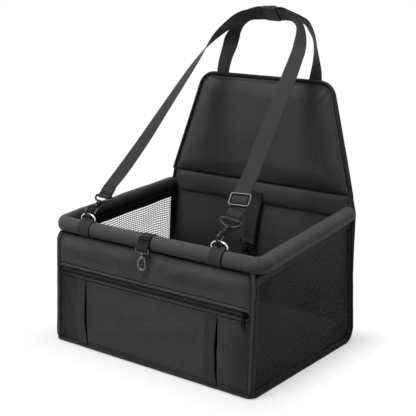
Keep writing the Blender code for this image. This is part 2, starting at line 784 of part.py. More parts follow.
def hook_frame(eye, jaw, across):
    """A frame at the hook's eye: Z runs from the jaw to the eye, X along the eye's bar."""
    up = (Vector(eye) - Vector(jaw)).normalized()
    side_way = Vector(across)
    side_way = (side_way - up * side_way.dot(up)).normalized()
    deep = up.cross(side_way)
    frame = Matrix((side_way, deep, up)).transposed().to_4x4()
    frame.translation = Vector(eye)
    return frame


def snap_hook(word, frame, size, hook_size, twist, eye_half, look):
    """A swivel snap hook: eye and collar, hook with its stem, and a sprung gate, each part with its size."""
    k, h = size * MM, hook_size * MM
    wire_r = size * EYE_WIRE_R
    half = eye_half
    eye_points = [(-half, 0, 0), (0, 0, 0), (half, 0, 0), (half * 1.06, 0, -3 * k)]
    eye_points += [(half * 0.86, 0, -7.5 * k), (half * 0.45, 0, -10.4 * k), (0, 0, -11.4 * k)]
    eye_points += [(-x, y, z) for x, y, z in (eye_points[5], eye_points[4], eye_points[3])]
    eye = mesh_of(wire(word + "_eye", eye_points, wire_r, None, closed=True))
    collar = rod(word + "_collar", 4.2 * k, -10.6 * k, -COLLAR_FOOT * k, None, collection=cutters,
                 low_radius=3.6 * k)
    bore = rod(word + "_bore", 2.2 * k, -13.8 * k, -20.0 * k, None, collection=cutters)
    boolean(eye, "UNION", collar)
    boolean(eye, "DIFFERENCE", bore)
    eye.data.materials.append(look)

    turned = frame @ Matrix.Rotation(math.radians(twist), 4, "Z")
    lowered = turned @ Matrix.Translation((0, 0, COLLAR_FOOT * (h - k)))
    stem = rod(word + "_hook", 1.8 * k, -14.2 * k, -22.0 * k, look)
    shoulder = rod(word + "_shoulder", 3.6 * h, -18.5 * h, -24.0 * h, None, collection=cutters,
                   low_radius=3.0 * h)
    jaw = [(-1.0, -21.5), (-4.2, -25.0), (-6.6, -30.0), (-7.0, -35.5), (-5.2, -40.5), (-1.0, -43.6),
           (3.0, -42.6), (5.6, -39.4), (6.2, -35.6)]
    bend = [(x * h, 0, z * h) for x, z in jaw]
    claw = mesh_of(wire(word + "_claw", bend, 2.0 * h, None, collection=cutters))
    boolean(stem, "UNION", shoulder)
    boolean(stem, "UNION", claw)
    gate_top, gate_foot = Vector((4.8 * h, 0, -22.6 * h)), Vector((6.0 * h, 0, -33.2 * h))
    gate = wire(word + "_gate", [gate_top, gate_top.lerp(gate_foot, 0.5), gate_foot], 1.4 * h, look)
    for obj, place in ((eye, frame), (collar, frame), (bore, frame), (stem, turned), (shoulder, lowered),
                       (claw, lowered), (gate, lowered)):
        obj.matrix_world = place
    return frame, (lowered @ gate_top, turned.to_3x3() @ Vector((0, 1, 0)))


def hook_on_ring(word, contact, lean, across, twist):
    """A hook whose jaw holds a D-ring's bow, leaning along lean with its bar level."""
    eye = Vector(contact) + Vector(lean).normalized() * JAW_REACH
    frame = hook_frame(eye, contact, across)
    return snap_hook("hook_" + word, frame, HOOK_SIZE, HOOK_SIZE, twist, WEBBING / 2 + 3.4 * MM, steel())


# Straps

def strap_axes(frame, toward):
    """Unit vectors of a strap that leaves an eye: along it, across its width, and out of its front."""
    across = (frame.to_3x3() @ Vector((1, 0, 0))).normalized()
    along = Vector(toward)
    along = (along - across * along.dot(across)).normalized()
    face = across.cross(along)
    return along, across, -face if face.y > 0 else face


def strap_foot(frame, toward, bar_r):
    """The folded end of a strap: up from its stitches behind, round the eye's bar and out in front."""
    bar = frame.translation
    along, across, face = strap_axes(frame, toward)
    lap = bar_r + GAP + WEBBING_T / 2
    tight = WEBBING_T / 2 + GAP / 2
    stitched, free = 20 * MM, 7 * MM
    points = [bar - face * tight + along * stitched, bar - face * tight + along * free]
    for i in range(9):
        a = math.pi * i / 8
        points.append(bar - face * lap * math.cos(a) - along * lap * math.sin(a))
    points += [bar + face * tight + along * free, bar + face * tight + along * stitched]
    return [(p, across) for p in points], across


def buckle_frame():
    """At the buckle's middle: X along the strap arch, Y across the webbing, Z out of its upper rear face."""
    across = Vector((0, -0.7, 0.714)).normalized()
    along = Vector((1, 0, 0))
    place = Matrix((along, -across, along.cross(-across))).transposed().to_4x4()
    place.translation = BUCKLE_AT
    return place


def round_bar(sign):
    """The webbing's way in along a buckle's lower face, through the slot and round its bar, in its frame."""
    turns = ((24, -1), (18.6, -1), (17.5, -1), (16.4, -0.8), (15.8, 0), (16.4, 0.8), (17.5, 1), (19.4, 1))
    return [(sign * x * MM, 0, side * BAR_LAP) for x, side in turns]


def straps(frames):
    place = buckle_frame()
    across_top = place.to_3x3() @ Vector((0, -1, 0))
    runs = {}
    for word, frame in frames.items():
        picked = FRONT_STRAPS[word]
        toward = Vector(picked[0][0]) * MM - frame.translation
        foot, across = strap_foot(frame, toward, HOOK_SIZE * EYE_WIRE_R)
        route = [(foot[-1][0], across)]
        route += [(Vector(p) * MM, Vector(d).normalized()) for p, d in picked]
        ends = round_bar(1 if word == "right" else -1)
        route.append((place @ Vector(ends[0]), across_top))
        stations = foot[:-1] + eased(route, 3)
        stations += [(place @ Vector(point), across_top) for point in ends[1:]]
        strip("front_strap_" + word, stations, WEBBING, WEBBING_T, webbing())
        runs[word] = stations

    behind = 3.2 * MM + GAP + WEBBING_T / 2
    up = FLAP_TOP_Z - SEAM_HIGH_Z
    for word, (foot_x, picked) in REAR_STRAPS.items():
        sign = 1 if word == "right" else -1
        route = [(flap_point(foot_x * MM, up - rise, behind), (1, 0, 0)) for rise in (34 * MM, 4 * MM)]
        route += [(Vector(p) * MM, Vector(d).normalized()) for p, d in picked]
        route += [(place @ Vector((sign * x * MM, 0, BAR_LAP)), across_top * sign) for x in (26, 20.8)]
        stations = route[:1] + eased(route[1:], 3)
        strip("rear_strap_" + word, stations, WEBBING, WEBBING_T, webbing())
    return runs


def adjuster(frame, stations):
    """The sliding metal rectangle with its middle bar, threaded on the right strap."""
    i = 0
    while (stations[i + 1][0] - frame.translation).length < ADJUSTER_UP:
        i += 1
    below, above = stations[i][0], stations[i + 1][0]
    t = (ADJUSTER_UP - (below - frame.translation).length) / (above - below).length
    along = (above - below).normalized()
    across = stations[i + 1][1] - along * stations[i + 1][1].dot(along)
    across.normalize()
    face = across.cross(along)
    place = Matrix((across, along, face)).transposed().to_4x4()
    clear = WEBBING_T / 2 + 2 * GAP + 1.5 * MM
    place.translation = below.lerp(above, t) + face * clear
    half_w, half_h, r = WEBBING / 2 + 2.8 * MM, 11 * MM, 3.4 * MM
    ring = []
    for (sx, sy), start in zip(((1, 1), (-1, 1), (-1, -1), (1, -1)), (0, 90, 180, 270)):
        ring += arc((sx * (half_w - r), sy * (half_h - r)), r, start, start + 90, 3)
    loop = mesh_of(wire("strap_adjuster", [(x, y, 0) for x, y in ring], 1.5 * MM, None, closed=True))
    loop.data.materials.append(steel())
    behind = -2 * clear
    bar = mesh_of(wire("adjuster_bar", [(-half_w, 0, 0.4 * MM), (-half_w, 0, behind),
                                        (half_w, 0, behind), (half_w, 0, 0.4 * MM)],
                       1.4 * MM, None, collection=cutters))
    boolean(loop, "UNION", bar)
    for obj in (loop, bar):
        obj.matrix_world = place
    return place.translation, along


# Side release buckle at the top of the strap arch

def buckle():
    place = buckle_frame()
    half_w = BUCKLE_HALF
    reach = 14.6 * MM

    def block(name, x0, x1, half_y, half_z, look=None, bevel=0.0, y=0.0):
        return box(name, (x0 * MM, y - half_y, -half_z), (x1 * MM, y + half_y, half_z), look, bevel, place,
                   parts if look else cutters)

    socket = block("buckle_socket", -2, 14, half_w, 4 * MM, plastic())
    boolean(socket, "UNION", block("socket_bar", 12.5, 20, half_w, BAR_T))
    boolean(socket, "DIFFERENCE", block("socket_mouth", -6, 11, half_w - 2.2 * MM, 2.3 * MM))
    for word, sign in (("front", -1), ("rear", 1)):
        window = block("socket_window_" + word, 3.6, 10, 5 * MM, 2.3 * MM, y=sign * half_w)
        boolean(socket, "DIFFERENCE", window)
    boolean(socket, "DIFFERENCE", block("socket_slot", 14.4, 17.2, reach, 10 * MM))

    plug = block("buckle_plug", -14, -2.4, half_w, 3.4 * MM, plastic())
    boolean(plug, "UNION", block("plug_bar", -20, -12.5, half_w, BAR_T))
    boolean(plug, "UNION", block("plug_tongue", -4, 9.5, 3.5 * MM, 1.9 * MM))
    boolean(plug, "DIFFERENCE", block("plug_slot", -17.2, -14.4, reach, 10 * MM))

    outline = [(-2.0, 8.4), (3.2, 9.4), (4.4, 13.4), (5.4, 16.0), (8.6, 15.6), (9.7, 13.0), (9.4, 9.2),
               (7.0, 7.2), (-2.0, 5.6)]
    prongs = {}
    for word, sign in (("front", 1), ("rear", -1)):
        edge = [(x * MM, sign * y * MM) for x, y in outline]
        plate("buckle_prong_" + word, [edge], 3.6 * MM, plastic(), place)
        prongs[word] = place @ Vector((-2.0 * MM, sign * 7.0 * MM, 0))
    return prongs, place.to_3x3() @ Vector((0, 0, 1))


# Leash inside the box

LEASH_TOP = Vector((3.5, 0, 252)) * MM
LEASH_EYE = Vector((-12, 0, 150)) * MM


def leash():
    """The dog's tether, sewn to the back below the seam, with a snap hook that hangs straight down."""
    sewn_y = BACK_Y - 8.7 * MM - GAP - WEBBING_T / 2
    y = sewn_y - 3.4 * MM
    eye = Vector((LEASH_EYE.x, y, LEASH_EYE.z))
    up = (LEASH_TOP - LEASH_EYE).normalized()
    across = Vector((0, 1, 0)).cross(up)
    frame = hook_frame(eye, eye - up, across)
    _, gate = snap_hook("leash", frame, LEASH_SIZE, LEASH_SIZE, 20, WEBBING / 2 + 2.8 * MM, gunmetal())
    foot, across = strap_foot(frame, up, LEASH_SIZE * EYE_WIRE_R)
    hang = [(foot[-1][0], across)]
    for height, depth in ((200 * MM, y), (234 * MM, sewn_y), (LEASH_TOP.z, sewn_y)):
        t = (height - LEASH_EYE.z) / (LEASH_TOP.z - LEASH_EYE.z)
        hang.append(((lerp(LEASH_EYE.x, LEASH_TOP.x, t), depth, height), across))
    stations = foot[:-1] + eased(hang, 3)
    strip("leash_strap", stations, WEBBING, WEBBING_T, webbing())
    return Vector((LEASH_TOP.x, sewn_y + WEBBING_T / 2, LEASH_TOP.z + 2.6 * MM)), frame, gate


def center_clip():
    wire_r = CLIP_SIZE * EYE_WIRE_R
    reach = RIM_R + 6.6 * MM
    bar = rim_loop("rim_loop_center", LOOP_CENTER_X, CLIP_WIDTH, CLIP_DIRECTION, reach, wire_r)
    frame = hook_frame((LOOP_CENTER_X, *bar), (LOOP_CENTER_X, bar[0], bar[1] - 30 * MM), (1, 0, 0))
    return snap_hook("clip", frame, CLIP_SIZE, CLIP_HOOK_SIZE, 8, CLIP_WIDTH / 2 + 2.2 * MM, gunmetal())


# Joints and assembly

def pivot(name, point, axis, nodes, carrier=None):
    """An empty on a joint, with its Z along the joint's axis, that carries the pieces that move with it."""
    place = Matrix.Translation(point) @ Vector(axis).to_track_quat("Z", "Y").to_matrix().to_4x4()
    empty = bpy.data.objects.new(name, None)
    empty.empty_display_size = 15 * MM
    parts.objects.link(empty)
    empty.matrix_world = place
    if carrier:
        empty.parent = bpy.data.objects[carrier]
        empty.matrix_parent_inverse = carriers[carrier].inverted()
    carriers[name] = place
    for node in nodes:
        piece = bpy.data.objects[node]
        piece.parent = empty
        piece.matrix_parent_inverse = place.inverted()
    print(name, [round(c, 5) for c in point], [round(c, 5) for c in axis])


carriers = {}


def hook_pivots(word, joint, frame, gate, carrier=None):
    """A snap hook's two joints: the hook swivels in its eye's collar, and the gate swings in the hook."""
    swivel = frame.to_3x3() @ Vector((0, 0, 1))
    pivot(joint + "_swivel", frame.translation, swivel, [word + "_hook"], carrier)
    pivot(joint + "_gate", *gate, [word + "_gate"], joint + "_swivel")


def main():
    base()
    for word, sign in (("left", -1), ("right", 1)):
        side(word, sign)
    front()
    slider, pull = zipper()
    back()
    flap()
    rim()
    frames = {}
    for word, x, contact_x, lean, across, twist in (
            ("left", LOOP_LEFT_X, -144.9, (0.045, 0.84, 0.543), (1, 0, 0), 52),
            ("right", LOOP_RIGHT_X, 135.5, (-0.018, 0.81, 0.586), (0.977, 0.14, -0.163), 85)):
        y, z = rim_loop("rim_loop_" + word, x, LOOP_WIDTH, 90, BAR_RISE, RING_R)
        d_ring("d_ring_" + word, x, y, z)
        pivot("d_ring_" + word + "_swing", (x, y, z), (1, 0, 0), ["d_ring_" + word])
        frame, gate = hook_on_ring(word, (contact_x * MM, y, z + D_RING_RISE), lean, across, twist)
        hook_pivots("hook_" + word, "hook_" + word, frame, gate)
        frames[word] = frame
    runs = straps(frames)
    prongs, prong_axis = buckle()
    pivot("adjuster_slide", *adjuster(frames["right"], runs["right"]), ["strap_adjuster"])
    pivot("zip_slide", slider, (-1, 0, 0), ["zipper_slider"])
    pivot("zip_pull_swing", pull, (-1, 0, 0), ["zipper_pull"], "zip_slide")
    pivot("flap_fold", (0, HINGE_Y, SEAM_HIGH_Z), (1, 0, 0),
          ["flap_cover", "flap_board", "flap_pad", "flap_piping", "rear_strap_left", "rear_strap_right",
           "buckle_socket", "buckle_plug"])
    for word, point in prongs.items():
        pivot("buckle_prong_" + word, point, prong_axis, ["buckle_prong_" + word], "flap_fold")
    top, frame, gate = leash()
    pivot("leash_swing", top, (-1, 0, 0), ["leash_strap", "leash_eye"])
    hook_pivots("leash", "leash", frame, gate, "leash_swing")
    frame, gate = center_clip()
    pivot("clip_swing", frame.translation, (-1, 0, 0), ["clip_eye"])
    hook_pivots("clip", "clip", frame, gate, "clip_swing")


main()
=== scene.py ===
"""Looks of the dog car seat: cloth, webbing, netting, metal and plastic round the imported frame.

Metres, +Z up. The open front faces -Y, +X is to its right, and the origin is the middle of the base on the seat.
"""

import math

import bpy
import bmesh
import numpy as np
from mathutils import Matrix, Vector, noise


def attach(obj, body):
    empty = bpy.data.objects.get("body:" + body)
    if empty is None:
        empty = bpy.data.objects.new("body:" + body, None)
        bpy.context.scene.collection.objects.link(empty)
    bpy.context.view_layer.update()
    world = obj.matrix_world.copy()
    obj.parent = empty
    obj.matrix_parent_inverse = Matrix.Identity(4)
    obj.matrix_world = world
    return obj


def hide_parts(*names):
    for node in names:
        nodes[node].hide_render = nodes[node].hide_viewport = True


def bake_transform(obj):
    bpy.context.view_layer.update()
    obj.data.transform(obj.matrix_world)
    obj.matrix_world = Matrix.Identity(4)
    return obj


MM = 0.001
GAP = 0.3 * MM
X_AXIS = Vector((1, 0, 0))
Z_AXIS = Vector((0, 0, 1))

# The box
BASE_DEPTH = 330 * MM
FRONT_Y = -BASE_DEPTH / 2
BACK_Y = BASE_DEPTH / 2
FRONT_LEAN = 8 * MM
SIDE_X = 214 * MM
FABRIC = 2.4 * MM
FRONT_CORNER_R = 12 * MM
BACK_CORNER_R = 30 * MM
BORDER = 10.5 * MM

# The side nets: the length and height of a cell, the width of the threads along and up, and their thickness
NET_ALONG = 5.2 * MM
NET_UP = 4.15 * MM
NET_ROW = 1.35 * MM
NET_COLUMN = 0.7 * MM
NET_THREAD = 0.45 * MM

# The padded rim, and the folds in its corners: degrees round the corner, width in degrees, depth as a share
RIM_R = 14.3 * MM
RIM_FRONT_Y = -146.5 * MM
RIM_FRONT_X = 213.9 * MM
RIM_BACK_X = 201.3 * MM
RIM_FRONT_Z = 215.4 * MM
RIM_BACK_Z = 238.8 * MM
RIM_END_Y = 155 * MM
RIM_CORNER_R = 19 * MM
RIM_FOLDS = ((-72, 8, 0.09), (-45, 7, 0.16), (-16, 8, 0.10), (8, 8, 0.05))

# The zipped pocket. For each slit in it: the x of its head and of its foot, and its greatest width
ZIP_Z = 137.5 * MM
ZIP_TAPE = 14 * MM
ZIP_HALF = 204 * MM
POCKET_FOOT_Z = 7 * MM
PLEAT_STARTS = (-160.5 * MM, 121.2 * MM)
SLITS = ((-142.1 * MM, -137.4 * MM, 4.6 * MM), (145.2 * MM, 148.0 * MM, 5.6 * MM))

# Where the front's cloths start and end
FRONT_TOP = RIM_FRONT_Z - RIM_R - 1.6 * MM
FACING_LOW = ZIP_Z + ZIP_TAPE / 2 - 1.6 * MM
POCKET_FOOT = POCKET_FOOT_Z - 1.5 * MM
POCKET_HEAD = ZIP_Z - ZIP_TAPE / 2 + 1.2 * MM
POCKET_TALL = POCKET_HEAD - POCKET_FOOT
FACING_HEM = 4.6 * MM
POCKET_HEM = 5.4 * MM

# The back and its flap
SEAM_LOW_Z = 226.2 * MM
SEAM_HIGH_Z = 267.7 * MM
FLAP_TOP_Z = 467 * MM
FLAP_RISE = FLAP_TOP_Z - SEAM_HIGH_Z
FLAP_LEAN = 11.6 * MM
FLAP_SKEW = 6 * MM
FLAP_BASE_HALF = 203.5 * MM
FLAP_TOP_HALF = 142 * MM
FLAP_CORNER_R = 34 * MM
PAD_REAR = 2.1 * MM
PAD_CROWN = 6 * MM

# Soft folds in the cloth, in mm: both ends of each as x and height, its width, and how far it stands out
FACING_FOLDS = (
    ((-200, 188), (-110, 170), 8, 2.0), ((-90, 192), (-10, 166), 9, 2.0), ((30, 168), (110, 188), 9, 2.2),
    ((60, 158), (150, 164), 6, -1.6), ((140, 188), (200, 166), 7, 2.0), ((-150, 160), (-70, 156), 6, -1.4),
)
POCKET_FOLDS = (
    ((154, 120), (196, 66), 7, 3.6), ((158, 92), (204, 28), 6, -3.2), ((150, 66), (188, 14), 6, 3.4),
    ((168, 116), (206, 88), 5, 2.0), ((-130, 112), (-60, 88), 10, 2.0), ((-20, 60), (76, 88), 12, 2.0),
    ((10, 34), (100, 24), 9, -1.8), ((-196, 118), (-166, 60), 8, -2.0), ((-206, 60), (-168, 20), 8, 1.6),
    ((40, 112), (112, 96), 8, -1.6), ((-120, 40), (-50, 52), 10, 1.6),
)
FLAP_FOLDS = (
    ((-124, 60), (-112, 196), 20, 3.0), ((-84, 70), (-80, 192), 15, -2.4), ((96, 20), (110, 160), 13, -1.8),
    ((-176, 74), (-128, 8), 6, 1.6), ((-152, 66), (-106, 6), 6, -1.4), ((-188, 46), (-158, 6), 5, 1.4),
    ((116, 66), (172, 18), 8, -1.8), ((148, 84), (190, 30), 7, 1.6), ((-60, 24), (70, 16), 10, -1.2),
)

# Webbing and its metalwork
WEBBING = 28 * MM
WEBBING_T = 1.4 * MM
LOOPS = {"left": -147 * MM, "center": -7.5 * MM, "right": 137 * MM}
LOOP_WIDTH = 26 * MM
CLIP_WIDTH = 22.5 * MM
CLIP_DIRECTION = 198
RING_R = 1.5 * MM
BAR_RISE = RIM_R + GAP + RING_R
D_RING_HALF = 15.8 * MM
D_RING_RISE = 11.8 * MM
HOOK_SIZE = 1.17
CLIP_SIZE = 0.6
CLIP_HOOK_SIZE = 1.0
LEASH_SIZE = 0.85
JAW_REACH = 45.4 * MM
EYE_WIRE_R = 1.6 * MM
ADJUSTER_UP = 38 * MM
BUCKLE_AT = Vector((9.5, 186, 582)) * MM
BAR_T = 1.9 * MM
BAR_LAP = BAR_T + GAP + WEBBING_T / 2
LEASH_TOP = Vector((3.5, 0, 252)) * MM
LEASH_EYE = Vector((-12, 0, 150)) * MM

# For each strap hook: where its jaw meets the ring, its lean, the way across it, and its turn in degrees
HOOKS = (
    ("left", -144.9 * MM, (0.045, 0.84, 0.543), (1, 0, 0), 52),
    ("right", 135.5 * MM, (-0.018, 0.81, 0.586), (0.977, 0.14, -0.163), 85),
)

# Outlines of a snap hook at size 1, in mm from its eye.
# Collar and shoulder are (radius, height), the rest (x, height).
COLLAR_FOOT = 18.0
COLLAR = ((0.4, -10.2), (2.6, -10.25), (3.9, -10.7), (4.25, -11.6), (4.25, -12.6), (3.75, -13.0), (3.75, -13.6),
          (4.15, -14.0), (4.1, -16.2), (3.7, -17.4), (3.1, -17.95), (0.4, -COLLAR_FOOT))
SHOULDER = ((0.4, -18.3), (2.6, -18.4), (3.55, -18.9), (3.7, -20.2), (3.3, -21.4), (2.9, -22.8), (2.7, -24.4),
            (1.6, -25.2), (0.4, -25.4))
JAW = ((-0.6, -20.5), (-2.4, -22.6), (-5.0, -25.6), (-7.1, -30.0), (-7.4, -35.5), (-5.5, -40.4), (-1.1, -43.2),
       (3.1, -42.3), (5.9, -39.3), (6.5, -35.6))
LEVER = ((4.4, -21.6), (4.9, -24.0), (5.3, -28.0), (5.8, -31.4), (6.0, -33.4))
THUMB = ((5.6, -27.2), (6.9, -27.8), (7.7, -28.2))

# The straps' middle lines in mm, each point with the direction of the webbing's width there.
FRONT_STRAPS = {
    "right": [
        ((129, -72, 309.5), (0.977, 0.14, -0.163)), ((127.5, -57, 324), (0.977, 0.14, -0.163)),
        ((126, -42, 339), (0.977, 0.15, -0.155)), ((121, -8, 373), (0.95, 0.28, -0.1)),
        ((114, 39, 421), (0.92, 0.37, -0.1)),
        ((106.5, 88, 470), (0.95, 0.3, -0.08)), ((101, 121, 503.5), (0.99, 0.12, -0.03)),
        ((97, 140, 522.5), (1, 0, 0)), ((92, 152, 539.5), (0.98, -0.2, 0.06)),
        ((85.5, 161, 555), (0.88, -0.45, 0.16)), ((75, 169, 567), (0.72, -0.62, 0.27)),
        ((61, 177, 575), (0.45, -0.72, 0.48)), ((48, 182, 579), (0.15, -0.7, 0.65)),
    ],
    "left": [
        ((-133, -70, 311.5), (1, 0.05, -0.03)), ((-122.5, -26, 358.5), (1, -0.05, -0.02)),
        ((-113.5, 22, 411), (0.96, -0.28, -0.01)), ((-105, 67, 460), (0.88, -0.48, -0.02)),
        ((-99, 97, 492.5), (0.78, -0.62, 0)), ((-95, 116, 513), (0.65, -0.75, 0.08)),
        ((-87.5, 132, 532), (0.45, -0.83, 0.3)), ((-78.5, 142, 545), (0.3, -0.85, 0.4)),
        ((-65.5, 152, 559), (0.22, -0.8, 0.52)), ((-51, 163, 571.5), (0.12, -0.75, 0.62)),
        ((-36, 175, 578), (0.03, -0.72, 0.68)),
    ],
}
REAR_STRAPS = {
    "right": (103, [
        ((109.5, 182, 484), (0.95, -0.3, 0)), ((108, 183, 505), (0.8, -0.6, 0.04)),
        ((105, 184, 525), (0.66, -0.74, 0.1)), ((101, 185.5, 541), (0.62, -0.75, 0.17)),
        ((94, 187, 554), (0.66, -0.7, 0.2)), ((84, 188.5, 566), (0.7, -0.66, 0.22)),
        ((72, 189, 573), (0.62, -0.7, 0.3)), ((60, 188.8, 577.5), (0.45, -0.74, 0.45)),
        ((48, 188.3, 580.5), (0.2, -0.72, 0.62)),
    ]),
    "left": (-103, [
        ((-94.5, 182, 484), (1, 0.03, -0.08)), ((-89, 183, 503), (0.99, 0.1, -0.1)),
        ((-84, 184, 517), (0.93, 0.3, -0.15)), ((-79, 185, 533), (0.65, 0.7, -0.27)),
        ((-72.5, 186, 548), (0.22, 0.92, -0.36)), ((-62.5, 187, 563), (0, 0.86, -0.5)),
        ((-48, 187.5, 574.5), (-0.05, 0.78, -0.62)), ((-32, 187.8, 580.5), (0, 0.7, -0.71)),
    ]),
}

# The camera, found from the photograph's edges, and its 416 pixel square frame
CAMERA_AT = Vector((1.0084003, -1.3469160, 0.6662639))
CAMERA_LOOK = Vector((-0.57991935, 0.77815838, -0.24117024))
CAMERA_RIGHT = Vector((0.80068519, 0.59903812, 0.00752044))
CAMERA_UP = Vector((-0.15032226, 0.18874019, 0.97045369))
FOCAL_PIXELS = 975.434
FRAME_PIXELS = 416
SENSOR = 36

# The floor's shaded and even shares of white, what it throws back and how far the shadow reaches; world and lamps
FLOOR_SHARE = 0.38
FLOOR_GLOW = 0.56
FLOOR_BOUNCE = 0.5
SHADOW_REACH = 0.068
WORLD_LIGHT = 0.08
LAMPS = (("key", (-0.2, -1.0, 2.35), 1.1, 44), ("top", (0.1, 0.1, 2.6), 1.6, 15))

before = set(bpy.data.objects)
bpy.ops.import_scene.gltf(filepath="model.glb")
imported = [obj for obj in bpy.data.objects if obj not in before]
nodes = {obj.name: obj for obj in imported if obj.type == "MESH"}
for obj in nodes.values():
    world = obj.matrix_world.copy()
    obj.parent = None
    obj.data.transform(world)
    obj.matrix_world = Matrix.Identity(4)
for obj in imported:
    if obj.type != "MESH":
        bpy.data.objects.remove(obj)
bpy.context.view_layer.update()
scene = bpy.context.scene


def lerp(a, b, t):
    """The value a share t of the way from a to b."""
    return a + (b - a) * t


def clamp(t):
    return min(1.0, max(0.0, t))


def bell(off, width):
    """A soft hump: 1 at its middle, and close to 0 from twice its width on."""
    return math.exp(-(off / width) ** 2)


def arc(center, radius, start, end, steps):
    """Points round a center between two angles in degrees."""
    cx, cy = center
    angles = [math.radians(start + (end - start) * i / steps) for i in range(steps + 1)]
    return [(cx + radius * math.cos(a), cy + radius * math.sin(a)) for a in angles]


# Materials

class Nodes:
    """A node tree, with short calls for the nodes that the looks below are made of."""

    def __init__(self, tree):
        self.tree = tree

    def node(self, kind, **settings):
        made = self.tree.nodes.new(kind)
        for key, value in settings.items():
            setattr(made, key, value)
        return made

    def link(self, source, target):
        self.tree.links.new(source, target)

    def math(self, operation, a, b=None):
        made = self.node("ShaderNodeMath", operation=operation)
        for i, value in enumerate((a, b)):
            if isinstance(value, (int, float)):
                made.inputs[i].default_value = value
            elif value is not None:
                self.link(value, made.inputs[i])
        return made.outputs[0]

    def total(self, *parts):
        """The sum of (value, weight) pairs."""
        sums = [self.math("MULTIPLY", value, weight) for value, weight in parts]
        while len(sums) > 1:
            sums[:2] = [self.math("ADD", *sums[:2])]
        return sums[0]

    def split(self, vector):
        made = self.node("ShaderNodeSeparateXYZ")
        self.link(vector, made.inputs[0])
        return made.outputs

    def place(self, source):
        return self.node("ShaderNodeTexCoord").outputs[source]

    def spread(self, value, low, high, start=0.0, end=1.0):
        """What is start where the value is low or less, and end where it is high or more."""
        made = self.node("ShaderNodeMapRange")
        for key, number in (("From Min", low), ("From Max", high), ("To Min", start), ("To Max", end)):
            made.inputs[key].default_value = number
        self.link(value, made.inputs["Value"])
        return made.outputs[0]


class Look(Nodes):
    """A material, with the patterns and finishes that it is built from."""

    def __init__(self, name, roughness, metallic=0.0, specular=0.5):
        self.made = bpy.data.materials.new(name)
        self.made.use_nodes = True
        super().__init__(self.made.node_tree)
        self.shader = self.tree.nodes["Principled BSDF"]
        self.shader.inputs["Roughness"].default_value = roughness
        self.shader.inputs["Metallic"].default_value = metallic
        self.shader.inputs["Specular IOR Level"].default_value = specular

    def noise(self, scale, detail=2.0, stretch=None):
        place = self.place("Object")
        if stretch:
            mapping = self.node("ShaderNodeMapping")
            mapping.inputs["Scale"].default_value = stretch
            self.link(place, mapping.inputs["Vector"])
            place = mapping.outputs["Vector"]
        made = self.node("ShaderNodeTexNoise")
        made.inputs["Scale"].default_value = scale
        made.inputs["Detail"].default_value = detail
        self.link(place, made.inputs["Vector"])
        return made.outputs["Fac"]

    def ribs(self, pitch, axis):
        """Ribs over the mesh's own metre coordinates, from -1 to 1."""
        return self.math("SINE", self.math("MULTIPLY", self.split(self.place("UV"))[axis], math.tau / pitch))

    def color(self, factor, dark, light, low=0.3, high=0.7):
        ramp = self.node("ShaderNodeValToRGB")
        for stop, position, color in zip(ramp.color_ramp.elements, (low, high), (dark, light)):
            stop.position = position
            stop.color = (*color, 1)
        self.link(factor, ramp.inputs[0])
        self.link(ramp.outputs[0], self.shader.inputs["Base Color"])

    def paint_shade_along(self, axis, low, high, share):
        """Paints shade: darkens the colour to a share of itself at one place along an axis, and leaves it from
        another on.
        """
        self.darken(self.spread(self.split(self.place("Object"))[axis], low, high, share))

    def paint_inward_shade(self, share):
        """Paints shade: darkens the colour on the faces that look in over the box, which get the least light."""
        where = self.node("ShaderNodeNewGeometry")
        flat = self.node("ShaderNodeVectorMath", operation="MULTIPLY")
        flat.inputs[1].default_value = (1, 1, 0)
        self.link(where.outputs["Position"], flat.inputs[0])
        facing = self.node("ShaderNodeVectorMath", operation="DOT_PRODUCT")
        self.link(flat.outputs["Vector"], facing.inputs[0])
        self.link(where.outputs["True Normal"], facing.inputs[1])
        self.darken(self.spread(facing.outputs["Value"], -0.15, -0.01, share))

    def darken(self, factor):
        socket = self.shader.inputs["Base Color"]
        mix = self.node("ShaderNodeMix", data_type="RGBA", blend_type="MULTIPLY")
        mix.inputs[0].default_value = 1.0
        self.link(socket.links[0].from_socket, mix.inputs[6])
        self.link(factor, mix.inputs[7])
        self.link(mix.outputs[2], socket)

    def rough(self, factor, low, high):
        self.link(self.spread(factor, 0.0, 1.0, low, high), self.shader.inputs["Roughness"])

    def bump(self, *layers):
        """Bumps from (height, distance, strength) layers, each on top of the one before."""
        before = None
        for height, distance, strength in layers:
            made = self.node("ShaderNodeBump")
            made.inputs["Distance"].default_value = distance
            made.inputs["Strength"].default_value = strength
            self.link(height, made.inputs["Height"])
            if before:
                self.link(before, made.inputs["Normal"])
            before = made.outputs["Normal"]
        self.link(before, self.shader.inputs["Normal"])

    def sheen(self, weight):
        self.shader.inputs["Sheen Weight"].default_value = weight
        self.shader.inputs["Sheen Roughness"].default_value = 0.5


def grey(level, blue=0.0):
    return (level, level, level * (1 + blue))


def woven(name, level, contrast=0.26, pitch=0.55 * MM, sheen=0.03, specular=0.14, painted_shades=(), inward=None):
    """Plain-woven polyester, with threads, slubs and slow changes of tone. Each given shade darkens it towards a
    place along an axis, and inward darkens the faces that look into the box; both are painted shade.
    """
    look = Look(name, 0.85, specular=specular)
    weave = look.math("MULTIPLY", look.ribs(pitch, 0), look.ribs(pitch, 1))
    mottle = look.noise(300)
    slub = look.noise(900, 1, stretch=(0.35, 0.35, 1))
    slow = look.noise(16)
    tone = look.total((weave, 0.05), (mottle, 0.5), (slub, 0.3), (slow, 0.2))
    look.color(tone, grey(level * (1 - contrast), 0.02), grey(level * (1 + contrast), 0.02), 0.36, 0.64)
    for paint_shade_along in painted_shades:
        look.paint_shade_along(*paint_shade_along)
    if inward:
        look.paint_inward_shade(inward)
    look.rough(mottle, 0.50, 0.66)
    look.bump((slow, 5 * MM, 0.4), (mottle, 0.45 * MM, 0.5), (slub, 0.25 * MM, 0.5), (weave, 0.12 * MM, 0.6))
    look.sheen(sheen)
    return look.made


